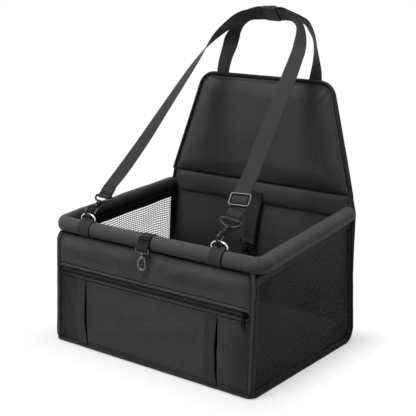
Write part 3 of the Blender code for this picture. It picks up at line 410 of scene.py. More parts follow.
def ribbed(name, level, sheen=0.03, specular=0.16):
    """Strap webbing, with ribs across it and a fine thread along it."""
    look = Look(name, 0.6, specular=specular)
    ribs = look.ribs(1.3 * MM, 0)
    along = look.ribs(0.9 * MM, 1)
    worn = look.noise(180, 3)
    tone = look.total((ribs, 0.12), (along, 0.05), (worn, 1.0))
    look.color(tone, grey(level * 0.86, 0.02), grey(level * 1.14, 0.02), 0.25, 0.75)
    look.rough(worn, 0.5, 0.66)
    look.bump((worn, 0.3 * MM, 0.3), (along, 0.1 * MM, 0.5), (ribs, 0.2 * MM, 0.7))
    look.sheen(sheen)
    return look.made


def fibrous(name, dark, light, scale, height, roughness, specular=0.5, strength=0.6, detail=2, stretch=None):
    """Thread or pressed fibre, with a fine grain between two greys."""
    look = Look(name, roughness, specular=specular)
    fibre = look.noise(scale, detail, stretch)
    look.color(fibre, grey(dark), grey(light))
    look.bump((fibre, height, strength))
    return look.made


def polished(name, level, low, high):
    """Plated metal, with faint scratches and a slightly uneven polish."""
    look = Look(name, low, metallic=1.0)
    cloud = look.noise(90, 3)
    scratch = look.noise(900, stretch=(1, 1, 0.15))
    look.color(cloud, grey(level * 0.88, 0.02), grey(level, 0.02), 0.35, 0.65)
    look.rough(look.total((cloud, 0.5), (scratch, 0.5)), low, high)
    look.bump((scratch, 0.03 * MM, 0.3), (cloud, 0.2 * MM, 0.15))
    return look.made


def moulded(name, level, roughness=0.42):
    """Hard plastic with a fine grain."""
    look = Look(name, roughness, specular=0.22)
    grain = look.noise(1800)
    look.color(look.noise(60), grey(level * 0.85), grey(level * 1.1))
    look.rough(grain, roughness - 0.08, roughness + 0.12)
    look.bump((grain, 0.06 * MM, 0.4))
    return look.made


def drawn_tube():
    look = Look("drawn_tube", 0.4)
    cloud = look.noise(120)
    look.color(cloud, (0.66, 0.66, 0.63), (0.74, 0.74, 0.72))
    look.rough(cloud, 0.34, 0.46)
    return look.made


FABRIC_LOOK = woven("outer_cloth", 0.058)
# The facing and the pocket are painted darker towards their ends, as shade where the cloth turns away from the
# light; the pocket is darkest at its left end.
FACING_LOOK = woven("facing_cloth", 0.065, painted_shades=((0, 0.210, 0.186, 0.62), (0, -0.210, -0.190, 0.7)))
POCKET_LOOK = woven("pocket_cloth", 0.053, painted_shades=((0, -0.206, -0.126, 0.06), (0, 0.209, 0.160, 0.50)))
LINING_LOOK = woven("lining_cloth", 0.060, contrast=0.2, sheen=0.04)
# The back lining is painted darker towards its foot, as the shade deep in the box.
BACK_LOOK = woven("back_lining", 0.068, contrast=0.2, sheen=0.02, painted_shades=((2, 0.08, 0.18, 0.03),))
# The floor and front linings are painted dark, as the shade inside the box.
FLOOR_SHADE_LOOK = woven("floor_lining_painted_shade", 0.008, contrast=0.2, sheen=0.0, specular=0.1)
DEEP_SHADE_LOOK = woven("inner_cloth_painted_shade", 0.014, contrast=0.2, sheen=0.0, specular=0.1)
# The rim is painted darker on the faces that look into the box, as the shade there.
RIM_LOOK = woven("rim_cloth", 0.064, inward=0.12)
BORDER_LOOK = woven("border_cloth", 0.014)
EDGE_LOOK = woven("edge_tape", 0.026, contrast=0.25, pitch=0.8 * MM)
# A near-black cloth that paints shade: in the slits, under the rim, beside the loops and at folds of the webbing.
SHADE_LOOK = woven("painted_shade_cloth", 0.004, contrast=0.2, sheen=0.0, specular=0.0)
WEBBING_LOOK = ribbed("webbing", 0.034)
BAND_LOOK = ribbed("band_webbing", 0.032)
SOFT_BAND_LOOK = ribbed("soft_band_webbing", 0.036)
CLIP_STRAP_LOOK = ribbed("clip_webbing", 0.022, sheen=0.0, specular=0.1)
TAPE_LOOK = ribbed("zip_tape", 0.022, sheen=0.02)
THREAD_LOOK = fibrous("thread", 0.006, 0.010, 2500, 0.1 * MM, 0.7, 0.3)
NET_LOOK = fibrous("net_thread", 0.056, 0.092, 1500, 0.15 * MM, 0.6, 0.12)
STEEL_LOOK = polished("bright_steel", 0.62, 0.16, 0.34)
ADJUSTER_LOOK = polished("adjuster_metal", 0.065, 0.28, 0.42)
HOOK_LOOK = polished("black_nickel", 0.030, 0.10, 0.24)
CLIP_LOOK = polished("clip_metal", 0.14, 0.10, 0.24)
DARK_LOOK = polished("dark_metal", 0.012, 0.20, 0.36)
PLASTIC_LOOK = moulded("moulded_plastic", 0.012)
TOOTH_LOOK = moulded("zip_tooth", 0.05, 0.5)
BOARD_LOOK = fibrous("pressed_board", 0.15, 0.24, 700, 0.1 * MM, 0.8, strength=0.5, detail=4, stretch=(1, 0.2, 1))
TUBE_LOOK = drawn_tube()


# Meshes

def mesh_object(name, points, faces, look, uvs=None):
    """An object from points, faces and each face's corner coordinates in metres, its faces turned outwards."""
    mesh = bpy.data.meshes.new(name)
    mesh.from_pydata([tuple(p) for p in points], [], faces)
    layer = mesh.uv_layers.new(name="cloth")
    uvs = uvs or [[(0.0, 0.0)] * len(face) for face in faces]
    layer.data.foreach_set("uv", np.array([c for face in uvs for corner in face for c in corner], np.float32))
    made = bpy.data.objects.new(name, mesh)
    scene.collection.objects.link(made)
    edit = bmesh.new()
    edit.from_mesh(mesh)
    bmesh.ops.recalc_face_normals(edit, faces=edit.faces)
    edit.to_mesh(mesh)
    edit.free()
    mesh.materials.append(look)
    mesh.shade_smooth()
    return made


def joined(name, parts):
    """One object from several, each keeping its place, its coordinates and its material."""
    main = parts[0]
    with bpy.context.temp_override(active_object=main, object=main, selected_objects=parts,
                                   selected_editable_objects=parts):
        bpy.ops.object.join()
    main.name = name
    main.data.name = name
    return main


def near_edges(length, edge, spans, extra=()):
    """Places from 0 to 1 along a length, close together by both ends and by the extra places."""
    inner = [edge + (length - 2 * edge) * i / spans for i in range(spans + 1)]
    head = [0, 0.08 * edge, 0.3 * edge, 0.62 * edge]
    spots = sorted(head + inner + [length - p for p in head] + list(extra))
    kept = [spots[0]]
    for spot in spots[1:-1]:
        if spot - kept[-1] > 0.05 * MM and spots[-1] - spot > 0.05 * MM:
            kept.append(spot)
    return [p / length for p in kept + [spots[-1]]]


def two_layers(name, us, vs, width, height, place, look, lead=0):
    """A closed skin of two layers that share their edge points, and the points of its first layer.

    place(u, v, layer) gives a point of layer 0 or 1, and lead is the layer whose faces come first.
    """
    points, layers = [], ({}, {})
    for i, u in enumerate(us):
        for j, v in enumerate(vs):
            layers[0][i, j] = layers[1][i, j] = len(points)
            points.append(place(u, v, 0))
            if 0 < i < len(us) - 1 and 0 < j < len(vs) - 1:
                layers[1][i, j] = len(points)
                points.append(place(u, v, 1))
    faces, uvs = [], []
    for i in range(len(us) - 1):
        for j in range(len(vs) - 1):
            cell = ((i, j), (i + 1, j), (i + 1, j + 1), (i, j + 1))
            spots = [(us[a] * width, vs[b] * height) for a, b in cell]
            faces += [[layers[lead][c] for c in cell], [layers[1 - lead][c] for c in reversed(cell)]]
            uvs += [spots, spots[::-1]]
    return mesh_object(name, points, faces, look, uvs), sorted(set(layers[0].values()))


def slab(name, place, width, height, thickness, columns, rows, look, extra_v=()):
    """A closed sheet with rounded edges. place(u, v, depth) gives a point at a depth from the sheet's middle."""
    edge = thickness / 2

    def layered(u, v, layer):
        inside = min(u * width, (1 - u) * width, v * height, (1 - v) * height)
        half = edge * math.sqrt(1 - (1 - clamp(inside / edge)) ** 2)
        return place(u, v, half if layer else -half)

    us, vs = near_edges(width, edge, columns), near_edges(height, edge, rows, extra_v)
    return two_layers(name, us, vs, width, height, layered, look)[0]


def pillow(name, place, width, height, columns, rows, look):
    """A closed pad: place(u, v, t) gives its points, with t from 0 at its flat rear to 1 at its front."""
    us, vs = near_edges(width, 5 * MM, columns), near_edges(height, 5 * MM, rows)
    made, rear = two_layers(name, us, vs, width, height, place, look, lead=1)
    made.vertex_groups.new(name="sewn").add(rear, 1.0, "REPLACE")
    return made


def run_lengths(ring):
    """How far round a closed row of points each one lies, ending with the whole way."""
    steps = np.linalg.norm(np.diff(np.vstack([ring, ring[:1]]), axis=0), axis=1)
    return np.concatenate([[0], np.cumsum(steps)])


def sweep(name, rings, look, loop=False):
    """A skin over successive closed rings of points, with ends closed unless it is a loop."""
    rings = np.array(rings, float)
    count, around = rings.shape[:2]
    along, across = run_lengths(rings.mean(axis=1)), run_lengths(rings[count // 2])
    faces, uvs = [], []
    for i in range(count if loop else count - 1):
        k = (i + 1) % count
        for j in range(around):
            n = (j + 1) % around
            faces.append([i * around + j, k * around + j, k * around + n, i * around + n])
            uvs.append([(along[i], across[j]), (along[i + 1], across[j]),
                        (along[i + 1], across[j + 1]), (along[i], across[j + 1])])
    if not loop:
        for ring in (0, count - 1):
            faces.append([ring * around + j for j in range(around)])
            uvs.append([(along[ring], across[j]) for j in range(around)])
    return mesh_object(name, rings.reshape(-1, 3), faces, look, uvs)


def beside(i, count, loop):
    """The places before and after one in a line or loop of so many."""
    return (i - 1, (i + 1) % count) if loop else (max(i - 1, 0), min(i + 1, count - 1))


def travel(points, loop=False):
    """Unit directions along a line, and two steady directions across it at each point."""
    points = [Vector(p) for p in points]
    along = []
    for i in range(len(points)):
        before, after = beside(i, len(points), loop)
        along.append((points[after] - points[before]).normalized())
    start = along[0].orthogonal().normalized()
    sides = [start]
    for a, b in zip(along, along[1:]):
        turned = a.rotation_difference(b) @ sides[-1]
        sides.append((turned - b * turned.dot(b)).normalized())
    if loop:
        back = along[-1].rotation_difference(along[0]) @ sides[-1]
        off = math.atan2(along[0].dot(back.cross(start)), back.dot(start))
        sides = [Matrix.Rotation(off * i / len(points), 3, along[i]) @ s for i, s in enumerate(sides)]
    return [(p, a, s, a.cross(s)) for p, a, s in zip(points, along, sides)]


def dome(end, toward, r):
    """The (center, radius) pairs of a bar's round end, from its tip inwards."""
    out = (end - toward).normalized()
    return [(end + out * r * math.sin(a), r * math.cos(a)) for a in map(math.radians, (86, 66, 44, 22))]


def tube(name, points, radius, look, loop=False, segments=16, shape=None):
    """A round bar along points. radius is one number or one for each point, and shape() scales it."""
    points = [Vector(p) for p in points]
    radii = list(radius) if hasattr(radius, "__len__") else [radius] * len(points)
    if not loop:
        head, foot = dome(points[0], points[1], radii[0]), dome(points[-1], points[-2], radii[-1])[::-1]
        points = [p for p, r in head] + points + [p for p, r in foot]
        radii = [r for p, r in head] + radii + [r for p, r in foot]
    rings = []
    for i, (point, along, side, other) in enumerate(travel(points, loop)):
        ring = []
        for j in range(segments):
            a = math.tau * j / segments
            way = side * math.cos(a) + other * math.sin(a)
            ring.append(point + way * radii[i] * (shape(point, a, way) if shape else 1))
        rings.append(ring)
    return sweep(name, rings, look, loop)


def lathe(name, profile, place, look):
    """A turned shape about local Z from (radius, height) pairs."""
    angles = [math.tau * j / 24 for j in range(24)]
    rings = [[place @ Vector((radius * math.cos(a), radius * math.sin(a), height)) for a in angles]
             for radius, height in profile]
    return sweep(name, rings, look)


def curved(points, per_span, loop=False):
    """More points on a smooth line through the given ones."""
    points = [Vector(p) for p in points]
    if loop:
        rows = [points[-1]] + points + points[:2]
    else:
        rows = [points[0]] + points + [points[-1]]
    found = []
    for a, b, c, d in zip(rows, rows[1:], rows[2:], rows[3:]):
        for step in range(per_span):
            t = step / per_span
            found.append(0.5 * (2 * b + (c - a) * t + (2 * a - 5 * b + 4 * c - d) * t * t
                                + (3 * b - a - 3 * c + d) * t ** 3))
    if not loop:
        found.append(points[-1])
    return found


def eased(stations, per_span):
    """More (point, width direction) stations on a smooth route through the given ones."""
    return list(zip(curved([p for p, d in stations], per_span), curved([d for p, d in stations], per_span)))


def resampled(points, step):
    """The same line with points about a step apart."""
    points = [Vector(p) for p in points]
    found = []
    for a, b in zip(points, points[1:]):
        count = max(1, round((b - a).length / step))
        found += [a.lerp(b, i / count) for i in range(count)]
    return found + [points[-1]]


def webbing_ring(point, side, face, width, thickness):
    """One cross-section of webbing, flat with round selvedges that stand a hair proud."""
    columns = 8
    half, r = width / 2 - thickness / 2, thickness / 2
    spots = [(lerp(-half, half, i / columns), r * (1.0 if i in (0, columns) else 0.86))
             for i in range(columns + 1)]
    spots += [(half + r * 0.75, r * 0.6), (half + r, 0), (half + r * 0.75, -r * 0.6)]
    spots += [(-a, -b) for a, b in spots]
    return [point + side * a + face * b for a, b in spots]


def strap(name, stations, width, thickness, look, loop=False):
    """Webbing through (point, width direction) stations."""
    points = [Vector(p) for p, d in stations]
    rings = []
    for i, (point, across) in enumerate(stations):
        before, after = beside(i, len(points), loop)
        along = (points[after] - points[before]).normalized()
        side = Vector(across).normalized()
        side = (side - along * side.dot(along)).normalized()
        rings.append(webbing_ring(points[i], side, side.cross(along), width, thickness))
    return sweep(name, rings, look, loop)


def stitches(name, lines, pitch=3.4 * MM, radius=0.5 * MM):
    """Sewn thread: a short spindle for each stitch, along lines of points that lie on the cloth."""
    points, faces = [], []
    for line in lines:
        line = [Vector(p) for p in line]
        lengths = [0.0]
        for a, b in zip(line, line[1:]):
            lengths.append(lengths[-1] + (b - a).length)
        count = max(1, int(lengths[-1] / pitch))
        for n in range(count):
            ends = []
            for spot in ((n + 0.14) / count * lengths[-1], (n + 0.86) / count * lengths[-1]):
                k = max(i for i, length in enumerate(lengths[:-1]) if length <= spot)
                past = (spot - lengths[k]) / max(lengths[k + 1] - lengths[k], 1e-9)
                ends.append(line[k].lerp(line[k + 1], past))
            along = (ends[1] - ends[0]).normalized()
            side = along.orthogonal().normalized()
            other = along.cross(side)
            base = len(points)
            points.append(ends[0])
            for share in (0.22, 0.78):
                center = ends[0].lerp(ends[1], share)
                for a in (math.tau * j / 4 for j in range(4)):
                    points.append(center + (side * math.cos(a) + other * math.sin(a)) * radius * 0.8)
            points.append(ends[1])
            for j in range(4):
                k = (j + 1) % 4
                faces += [[base, base + 1 + k, base + 1 + j],
                          [base + 1 + j, base + 1 + k, base + 5 + k, base + 5 + j],
                          [base + 9, base + 5 + j, base + 5 + k]]
    return mesh_object(name, points, faces, THREAD_LOOK)


def flat_uv(obj):
    """Lays the cloth's threads along the mesh's main directions, in metres."""
    mesh = obj.data
    layer = mesh.uv_layers.active
    for polygon in mesh.polygons:
        axis = max(range(3), key=lambda i: abs(polygon.normal[i]))
        u, v = ((1, 2), (0, 2), (0, 1))[axis]
        for loop in polygon.loop_indices:
            co = mesh.vertices[mesh.loops[loop].vertex_index].co
            layer.data[loop].uv = (co[u], co[v])


def wave(x, z, size, seed=0.0):
    """A slow smooth wave over two lengths, from about -1 to 1."""
    return noise.noise(Vector((x / size, z / size, seed))) * 2


def crease(x, z, start, end, wide, high):
    """A long soft fold from one (x, z) place to another."""
    a, b, p = Vector(start) * MM, Vector(end) * MM, Vector((x, z))
    run = b - a
    t = clamp((p - a).dot(run) / run.length_squared)
    off = (p - a - run * t).length
    return high * MM * math.sin(math.pi * clamp(0.1 + 0.8 * t)) * bell(off, wide * MM)


def creases(x, z, folds):
    return sum(crease(x, z, *fold) for fold in folds)


def rumple(x, z, slow, fine, squeeze=1.0):
    """The slow waves and fine wrinkles of the front's cloth, each with its own seed."""
    return 1.0 * MM * wave(x, z * squeeze, 70 * MM, slow) + 0.45 * MM * wave(x, z, 20 * MM, fine)


def apply_modifiers(obj):
    graph = bpy.context.evaluated_depsgraph_get()
    mesh = bpy.data.meshes.new_from_object(obj.evaluated_get(graph))
    old = obj.data
    obj.modifiers.clear()
    obj.data = mesh
    bpy.data.meshes.remove(old)
    mesh.shade_smooth()


def dress(obj, body, slot, *hidden):
    """Sets a piece on its body in place of CAD nodes, which it hides. The slot is not used."""
    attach(obj, body)
    if hidden:
        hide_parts(*hidden)


def piping(name, points, radius, seed, run):
    """A covered cord whose cloth is slightly uneven. run(p) tells how far along it a point lies."""
    return tube(name, points, radius, EDGE_LOOK, segments=14,
                shape=lambda p, a, way: 1 + 0.05 * wave(run(p), a * 4 * MM, 9 * MM, seed))


def side_cords(name, low, high, count, place, radius, segments):
    """A thin cord up both sides. place(side, z) gives its points, with side -1 on the left and 1 on the right."""
    cords = []
    for side in (-1, 1):
        line = [place(side, lerp(low, high, i / (count - 1))) for i in range(count)]
        cords.append(tube("cord", line, radius, EDGE_LOOK, segments=segments))
    dress(joined(name, cords), "base", "outer_fabric")


# Where the walls run

def rim_center(y):
    t = (y - RIM_FRONT_Y) / (BACK_Y - RIM_FRONT_Y)
    return lerp(RIM_FRONT_X, RIM_BACK_X, t), lerp(RIM_FRONT_Z, RIM_BACK_Z, t)


def side_top(y):
    return rim_center(y)[1] - RIM_R - 1.2 * MM


def side_x(y, z):
    return lerp(SIDE_X, rim_center(y)[0], max(0.0, z) / rim_center(y)[1])


def front_y(z):
    return FRONT_Y + FRONT_LEAN * z / RIM_FRONT_Z


def front_half(z):
    """Half the front's width, rounded in at its foot and drawn in below the rim."""
    low = max(0.0, FRONT_CORNER_R - z)
    cut = FRONT_CORNER_R - math.sqrt(FRONT_CORNER_R ** 2 - low ** 2)
    drawn = 7 * MM * max(0.0, (z - 176 * MM) / (25 * MM)) ** 2
    return SIDE_X - 4.6 * MM - cut - drawn


def clip_dent(x, z):
    """1 where the front's cloth lies flat behind the hanging clip, and 0 away from it."""
    return math.exp(-((x - LOOPS["center"]) / (25 * MM)) ** 4) * clamp((z - 152 * MM) / (12 * MM))


def front_bulge(x, z):
    """How far the front's cloth stands out between its seams."""
    side = max(0.0, 1 - (front_half(z) - abs(x)) / ((42 if x < 0 else 26) * MM))
    across = max(0.0, 1 - side ** 2)
    if z > ZIP_Z:
        span = min(1.0, (z - ZIP_Z) / (RIM_FRONT_Z - RIM_R - ZIP_Z))
        slow = 2.6 * MM * math.sin(math.pi * span)
        full = 4.6 * MM * bell(span - 0.76, 0.2) * (1 - span ** 12)
        return (0.2 + 0.8 * across) * (slow + full) * (1 - 0.9 * clip_dent(x, z))
    return 3.4 * MM * across * math.sin(math.pi * max(0.0, z) / ZIP_Z)


def front_point(x, z, depth):
    return Vector((x, front_y(z) - front_bulge(x, z) + depth, z))


def hold_down(x, z):
    """0 where the front's cloth is sewn at its sides, and 1 a little way in."""
    return clamp((front_half(z) - abs(x)) / (16 * MM))


def flap_point(x, up, depth):
    slope = FLAP_LEAN / FLAP_RISE
    return Vector((x + FLAP_SKEW * up / FLAP_RISE, BACK_Y + slope * up + depth, SEAM_HIGH_Z + up - slope * depth))


def side_outline(inset):
    """The side wall's outline as (y, z) points, from the back's foot up and round."""
    low = 0.6 * MM + inset
    front_r, back_r, high_r = (max(r - inset, 2 * MM) for r in (FRONT_CORNER_R, BACK_CORNER_R, 12 * MM))
    front = FRONT_Y + inset
    back = BACK_Y - 1.5 * MM - inset
    high_y, high_z = front_y(side_top(front)) + inset + high_r, side_top(front) - inset - high_r
    return (arc((back - back_r, low + back_r), back_r, -90, 0, 18) + [(back, side_top(back) - inset)]
            + arc((high_y, high_z), high_r, 90, 180, 12)
            + arc((front + front_r, low + front_r), front_r, 180, 270, 12))


def back_half(z):
    """Half the back's width at a height, up to the flap's seam."""
    if z < RIM_BACK_Z:
        return lerp(209.5 * MM, 210.5 * MM, z / RIM_BACK_Z)
    return lerp(210.5 * MM, FLAP_BASE_HALF, (z - RIM_BACK_Z) / (SEAM_HIGH_Z - RIM_BACK_Z))


def flap_outline(inset, foot, steps=16):
    """The flap's outline as (x, height above its seam) points, from its right foot up and over."""
    top = FLAP_RISE - inset
    lean = math.atan2(FLAP_BASE_HALF - FLAP_TOP_HALF, FLAP_RISE)
    radius = FLAP_CORNER_R - inset
    corner_x = FLAP_TOP_HALF - inset / math.cos(lean) + inset * math.tan(lean)
    back_off = radius * math.tan((math.pi / 2 - lean) / 2)
    base_half = FLAP_BASE_HALF - inset / math.cos(lean) - foot * math.tan(lean)
    points = [(base_half, foot)] + arc((corner_x - back_off, top - radius), radius, math.degrees(lean), 90, steps)
    return points + [(-x, up) for x, up in reversed(points)]


def flap_half(inset, foot):
    """A function that gives the flap's half width at a height above its seam."""
    edge = flap_outline(inset, foot, 24)
    edge = edge[:len(edge) // 2]

    def half_at(up):
        for (x0, u0), (x1, u1) in zip(edge, edge[1:]):
            if u0 <= up <= u1 + 1e-9:
                return lerp(x0, x1, (up - u0) / max(u1 - u0, 1e-9))
        return edge[-1][0] if up > edge[-1][1] else edge[0][0]
    return half_at


# Base and pads

def base_cover():
    def place(u, v, depth):
        x = lerp(-SIDE_X + 3 * MM, SIDE_X - 3 * MM, u)
        y = lerp(FRONT_Y + 4 * MM, BACK_Y - BACK_CORNER_R, v)
        return Vector((x, y, 1 * MM - depth + 0.25 * MM * wave(x, y, 40 * MM)))

    made = slab("base_cloth", place, 422 * MM, 296 * MM, 1.9 * MM, 40, 28, FABRIC_LOOK)
    dress(made, "base", "outer_fabric", "base_cover")


def puff(obj, cap):
    """Blows a pad up a little as cloth, so that it gets the fullness and the small folds of a stuffed one."""
    rest = np.array([v.co for v in obj.data.vertices])
    cloth = obj.modifiers.new("fill", "CLOTH")
    cloth.settings.vertex_group_mass = "sewn"
    cloth.settings.use_pressure = True
    cloth.settings.uniform_pressure_force = 2.5
    cloth.settings.effector_weights.gravity = 0
    cloth.settings.quality = 6
    cloth.settings.tension_stiffness = 12
    cloth.settings.bending_stiffness = 0.4
    for number in range(1, 21):
        scene.frame_set(number)
    graph = bpy.context.evaluated_depsgraph_get()
    move = np.array([v.co for v in obj.evaluated_get(graph).data.vertices]) - rest
    obj.modifiers.clear()
    scene.frame_set(1)
    length = np.linalg.norm(move, axis=1, keepdims=True)
    move *= np.minimum(1, cap / np.maximum(length, 1e-9))
    obj.data.vertices.foreach_set("co", (rest + move).astype(np.float32).ravel())
    obj.data.update()


def stuffed(obj, cap):
    """A pad blown up by at most a cap, and rounded."""
    puff(obj, cap)
    soft = obj.modifiers.new("soft", "SUBSURF")
    soft.levels = soft.render_levels = 1
    apply_modifiers(obj)


def floor_cushion():
    """The loose floor pad, which runs a little way up the back's rounded foot."""
    turn = BACK_CORNER_R - 6.0 * MM
    turn_y = BACK_Y - BACK_CORNER_R

    def place(u, v, t):
        x, y = lerp(-1, 1, u), lerp(-1, 1, v)
        half_x = SIDE_X - 7 * MM - 1 * MM * (1 - y * y)
        run = lerp(FRONT_Y + 11 * MM + 5 * MM * (1 - x * x), turn_y + turn * math.pi / 2 + 2 * MM, v)
        crown = 7 * MM * (1 - x ** 6) * (1 - y ** 6)
        rise = (4.5 * MM + crown + 0.8 * MM * wave(half_x * x, run, 60 * MM)) * t
        if run <= turn_y:
            return Vector((half_x * x, run, 6.0 * MM + rise))
        angle = min(math.pi / 2, (run - turn_y) / turn)
        left = run - turn_y - turn * angle
        return Vector((half_x * x, turn_y + (turn - rise) * math.sin(angle),
                       6.0 * MM + turn - (turn - rise) * math.cos(angle) + left))

    made = pillow("floor_cushion", place, 410 * MM, 322 * MM, 44, 40, FLOOR_SHADE_LOOK)
    stuffed(made, 5 * MM)
    dress(made, "base", "lining_fabric", "floor_pad")


def back_cushion(name, node, z_low, z_high, half_low, half_high, crown, columns, rows, seed, look):
    def place(u, v, t):
        x, z = lerp(-1, 1, u), lerp(-1, 1, v)
        half, height = lerp(half_low, half_high, v), lerp(z_low, z_high, v)
        swell = crown * (1 - abs(x) ** 8) * (1 - z ** 4)
        near = (1 - abs(z)) * (z_high - z_low) / 2
        pucker = 0.35 * MM * math.exp(-near / (9 * MM)) * wave(x * half, 0, 11 * MM, seed)
        rise = (0.9 * MM + swell + pucker + 0.5 * MM * wave(x * half, height, 45 * MM, seed)) * t
        return Vector((x * half, BACK_Y - PAD_REAR - max(rise, 0.0), height))

    made = pillow(name, place, 2 * half_low, z_high - z_low, columns, rows, look)
    stuffed(made, 2.0 * MM)
    dress(made, "base", "lining_fabric", node)


def flap_cushion():
    low, top = 3 * MM, FLAP_RISE - 6 * MM
    half_at = flap_half(6 * MM, low)

    def place(u, v, t):
        up = lerp(low, top, math.sin(math.pi / 2 * v))
        half = half_at(up)
        across = math.sin(math.pi / 2 * lerp(-1, 1, u)) * half
        edge = min(half - abs(across), top - up)
        rise, foot = clamp((edge - 5 * MM) / (24 * MM)), min(1.0, (up - low) / (22 * MM))
        rise, foot = rise * (2 - rise), foot * (2 - foot)
        pucker = 0.5 * MM * math.exp(-max(edge - 6 * MM, 0) / (12 * MM)) * wave(across, up, 12 * MM, 5.0)
        fold = 0.5 * MM * math.exp((low - up) / (26 * MM)) * wave(across + 0.6 * up, 0, 17 * MM, 9.0)
        swell = PAD_CROWN + 1.0 * MM * wave(across, up, 70 * MM, 2.0) + creases(across, up, FLAP_FOLDS)
        out = (1.2 * MM + max(0.0, swell * rise * foot) + pucker + fold) * t
        return flap_point(across, up, -PAD_REAR - max(out, 0.0))

    made = pillow("flap_cushion", place, 390 * MM, top, 60, 46, LINING_LOOK)
    stuffed(made, 2.0 * MM)
    dress(made, "flap", "lining_fabric", "flap_pad")


def pads():
    seam, half = SEAM_LOW_Z + 0.3 * MM, 196.5 * MM
    floor_cushion()
    back_cushion("lower_back_cushion", "lower_back_pad", 34 * MM, seam, half, half, 3.0 * MM, 44, 26, 3.0,
                 BACK_LOOK)
    back_cushion("back_band_cushion", "back_band", seam, SEAM_HIGH_Z - 1.0 * MM, half, 195 * MM, 3.6 * MM, 48, 9,
                 7.0, LINING_LOOK)
    flap_cushion()


# Side walls

def side_binding(word, sign):
    """The cloth border round the net: a soft roll, sewn flat beside the netting, with its top under the rim."""
    outer, inner = side_outline(0), side_outline(BORDER)
    ring = []
    for i, (a, b) in enumerate(zip(outer, inner)):
        c, d = outer[(i + 1) % len(outer)], inner[(i + 1) % len(outer)]
        count = max(1, round(math.dist(a, c) / (6 * MM)))
        for t in (k / count for k in range(count)):
            y, z = lerp(a[0], c[0], t), lerp(a[1], c[1], t)
            tucked = 5 * MM * max(0.0, 1 - (side_top(y) - z) / (6 * MM))
            ring.append(((y, z + tucked), (lerp(b[0], d[0], t), lerp(b[1], d[1], t))))

    def place(outside, inside, share, out):
        """A point at a share of the way across the border, standing out by a share of half the cloth."""
        y, z = lerp(outside[0], inside[0], share), lerp(outside[1], inside[1], share)
        return Vector((sign * (side_x(y, z) + out * FABRIC / 2 + 0.4 * MM * wave(y, z, 30 * MM, sign)), y, z))

    profile = [(0.0, 0.0), (0.03, 0.8), (0.10, 1.5), (0.22, 1.9), (0.36, 1.95), (0.50, 1.7), (0.60, 1.25),
               (0.66, 0.75), (0.69, 0.5), (0.72, 0.7), (0.80, 0.95), (0.90, 0.9), (0.97, 0.6), (1.0, 0.0)]
    profile += [(a, -min(b, 1.0)) for a, b in reversed(profile[1:-1])]
    rings = [[place(*ends, *spot) for spot in profile] for ends in ring]
    made = sweep(word + "_side_binding", rings, BORDER_LOOK, loop=True)
    flat_uv(made)
    dress(made, "base", "outer_fabric", word + "_side_frame")
    seam = [place(*ends, 0.69, 0.75) for ends in ring + ring[:1]]
    dress(stitches(word + "_side_stitches", [seam]), "base", "outer_fabric")


def side_net(word, sign):
    """Knitted netting: a hole in each cell, with the threads between them raised, hanging a little slack."""
    low, reach = 8.5 * MM, BORDER - 2.8 * MM
    y0, y1 = FRONT_Y + reach, BACK_Y - reach - 1 * MM
    columns = round((y1 - y0) / NET_ALONG)
    rows = round((side_top(0) - reach + 2 * MM - low) / NET_UP)
    back = FABRIC / 2 + GAP + 1.0 * MM

    def place(i, j, lift):
        u, v = i / columns, j / rows
        y = lerp(y0, y1, u)
        z = lerp(low, side_top(y) - reach + 2 * MM, v)
        hold = min(1.0, 8 * u * (1 - u)) * min(1.0, 8 * v * (1 - v))
        y += 1.9 * MM * hold * wave(y, z, 62 * MM, 11 + sign)
        z += 2.6 * MM * hold * wave(y, z, 48 * MM, 21 + sign)
        sag = 1.5 * MM * hold * wave(y * 0.7 + z, z * 0.5, 34 * MM, 31 + sign)
        return Vector((sign * (side_x(y, z) - back + sag - hold * 1.2 * MM + lift), y, z))

    points = [place(i, j, 0.35 * MM) for i in range(columns + 1) for j in range(rows + 1)]
    faces = []
    open_u, open_v = 1 - NET_COLUMN / NET_ALONG, 1 - NET_ROW / NET_UP
    for i in range(columns):
        for j in range(rows):
            start = len(points)
            for a, b in ((0.12, 0), (0.88, 0), (1, 0.12), (1, 0.88), (0.88, 1), (0.12, 1), (0, 0.88), (0, 0.12)):
                points.append(place(i + (1 - open_u) / 2 + open_u * a, j + (1 - open_v) / 2 + open_v * b, 0.0))
            corners = [p * (rows + 1) + q for p, q in ((i, j), (i + 1, j), (i + 1, j + 1), (i, j + 1))]
            for k in range(4):
                corner, following = corners[k], corners[(k + 1) % 4]
                first, second, third = start + 2 * k, start + 2 * k + 1, start + (2 * k + 2) % 8
                faces += [[corner, following, second, first], [following, third, second]]
    uvs = [[(points[p].y, points[p].z) for p in face] for face in faces]
    made = mesh_object(word + "_netting", points, faces, NET_LOOK, uvs)
    solid = made.modifiers.new("thread", "SOLIDIFY")
    solid.thickness = NET_THREAD
    solid.offset = 0.0
    apply_modifiers(made)
    dress(made, "base", "side_net", word + "_side_net")


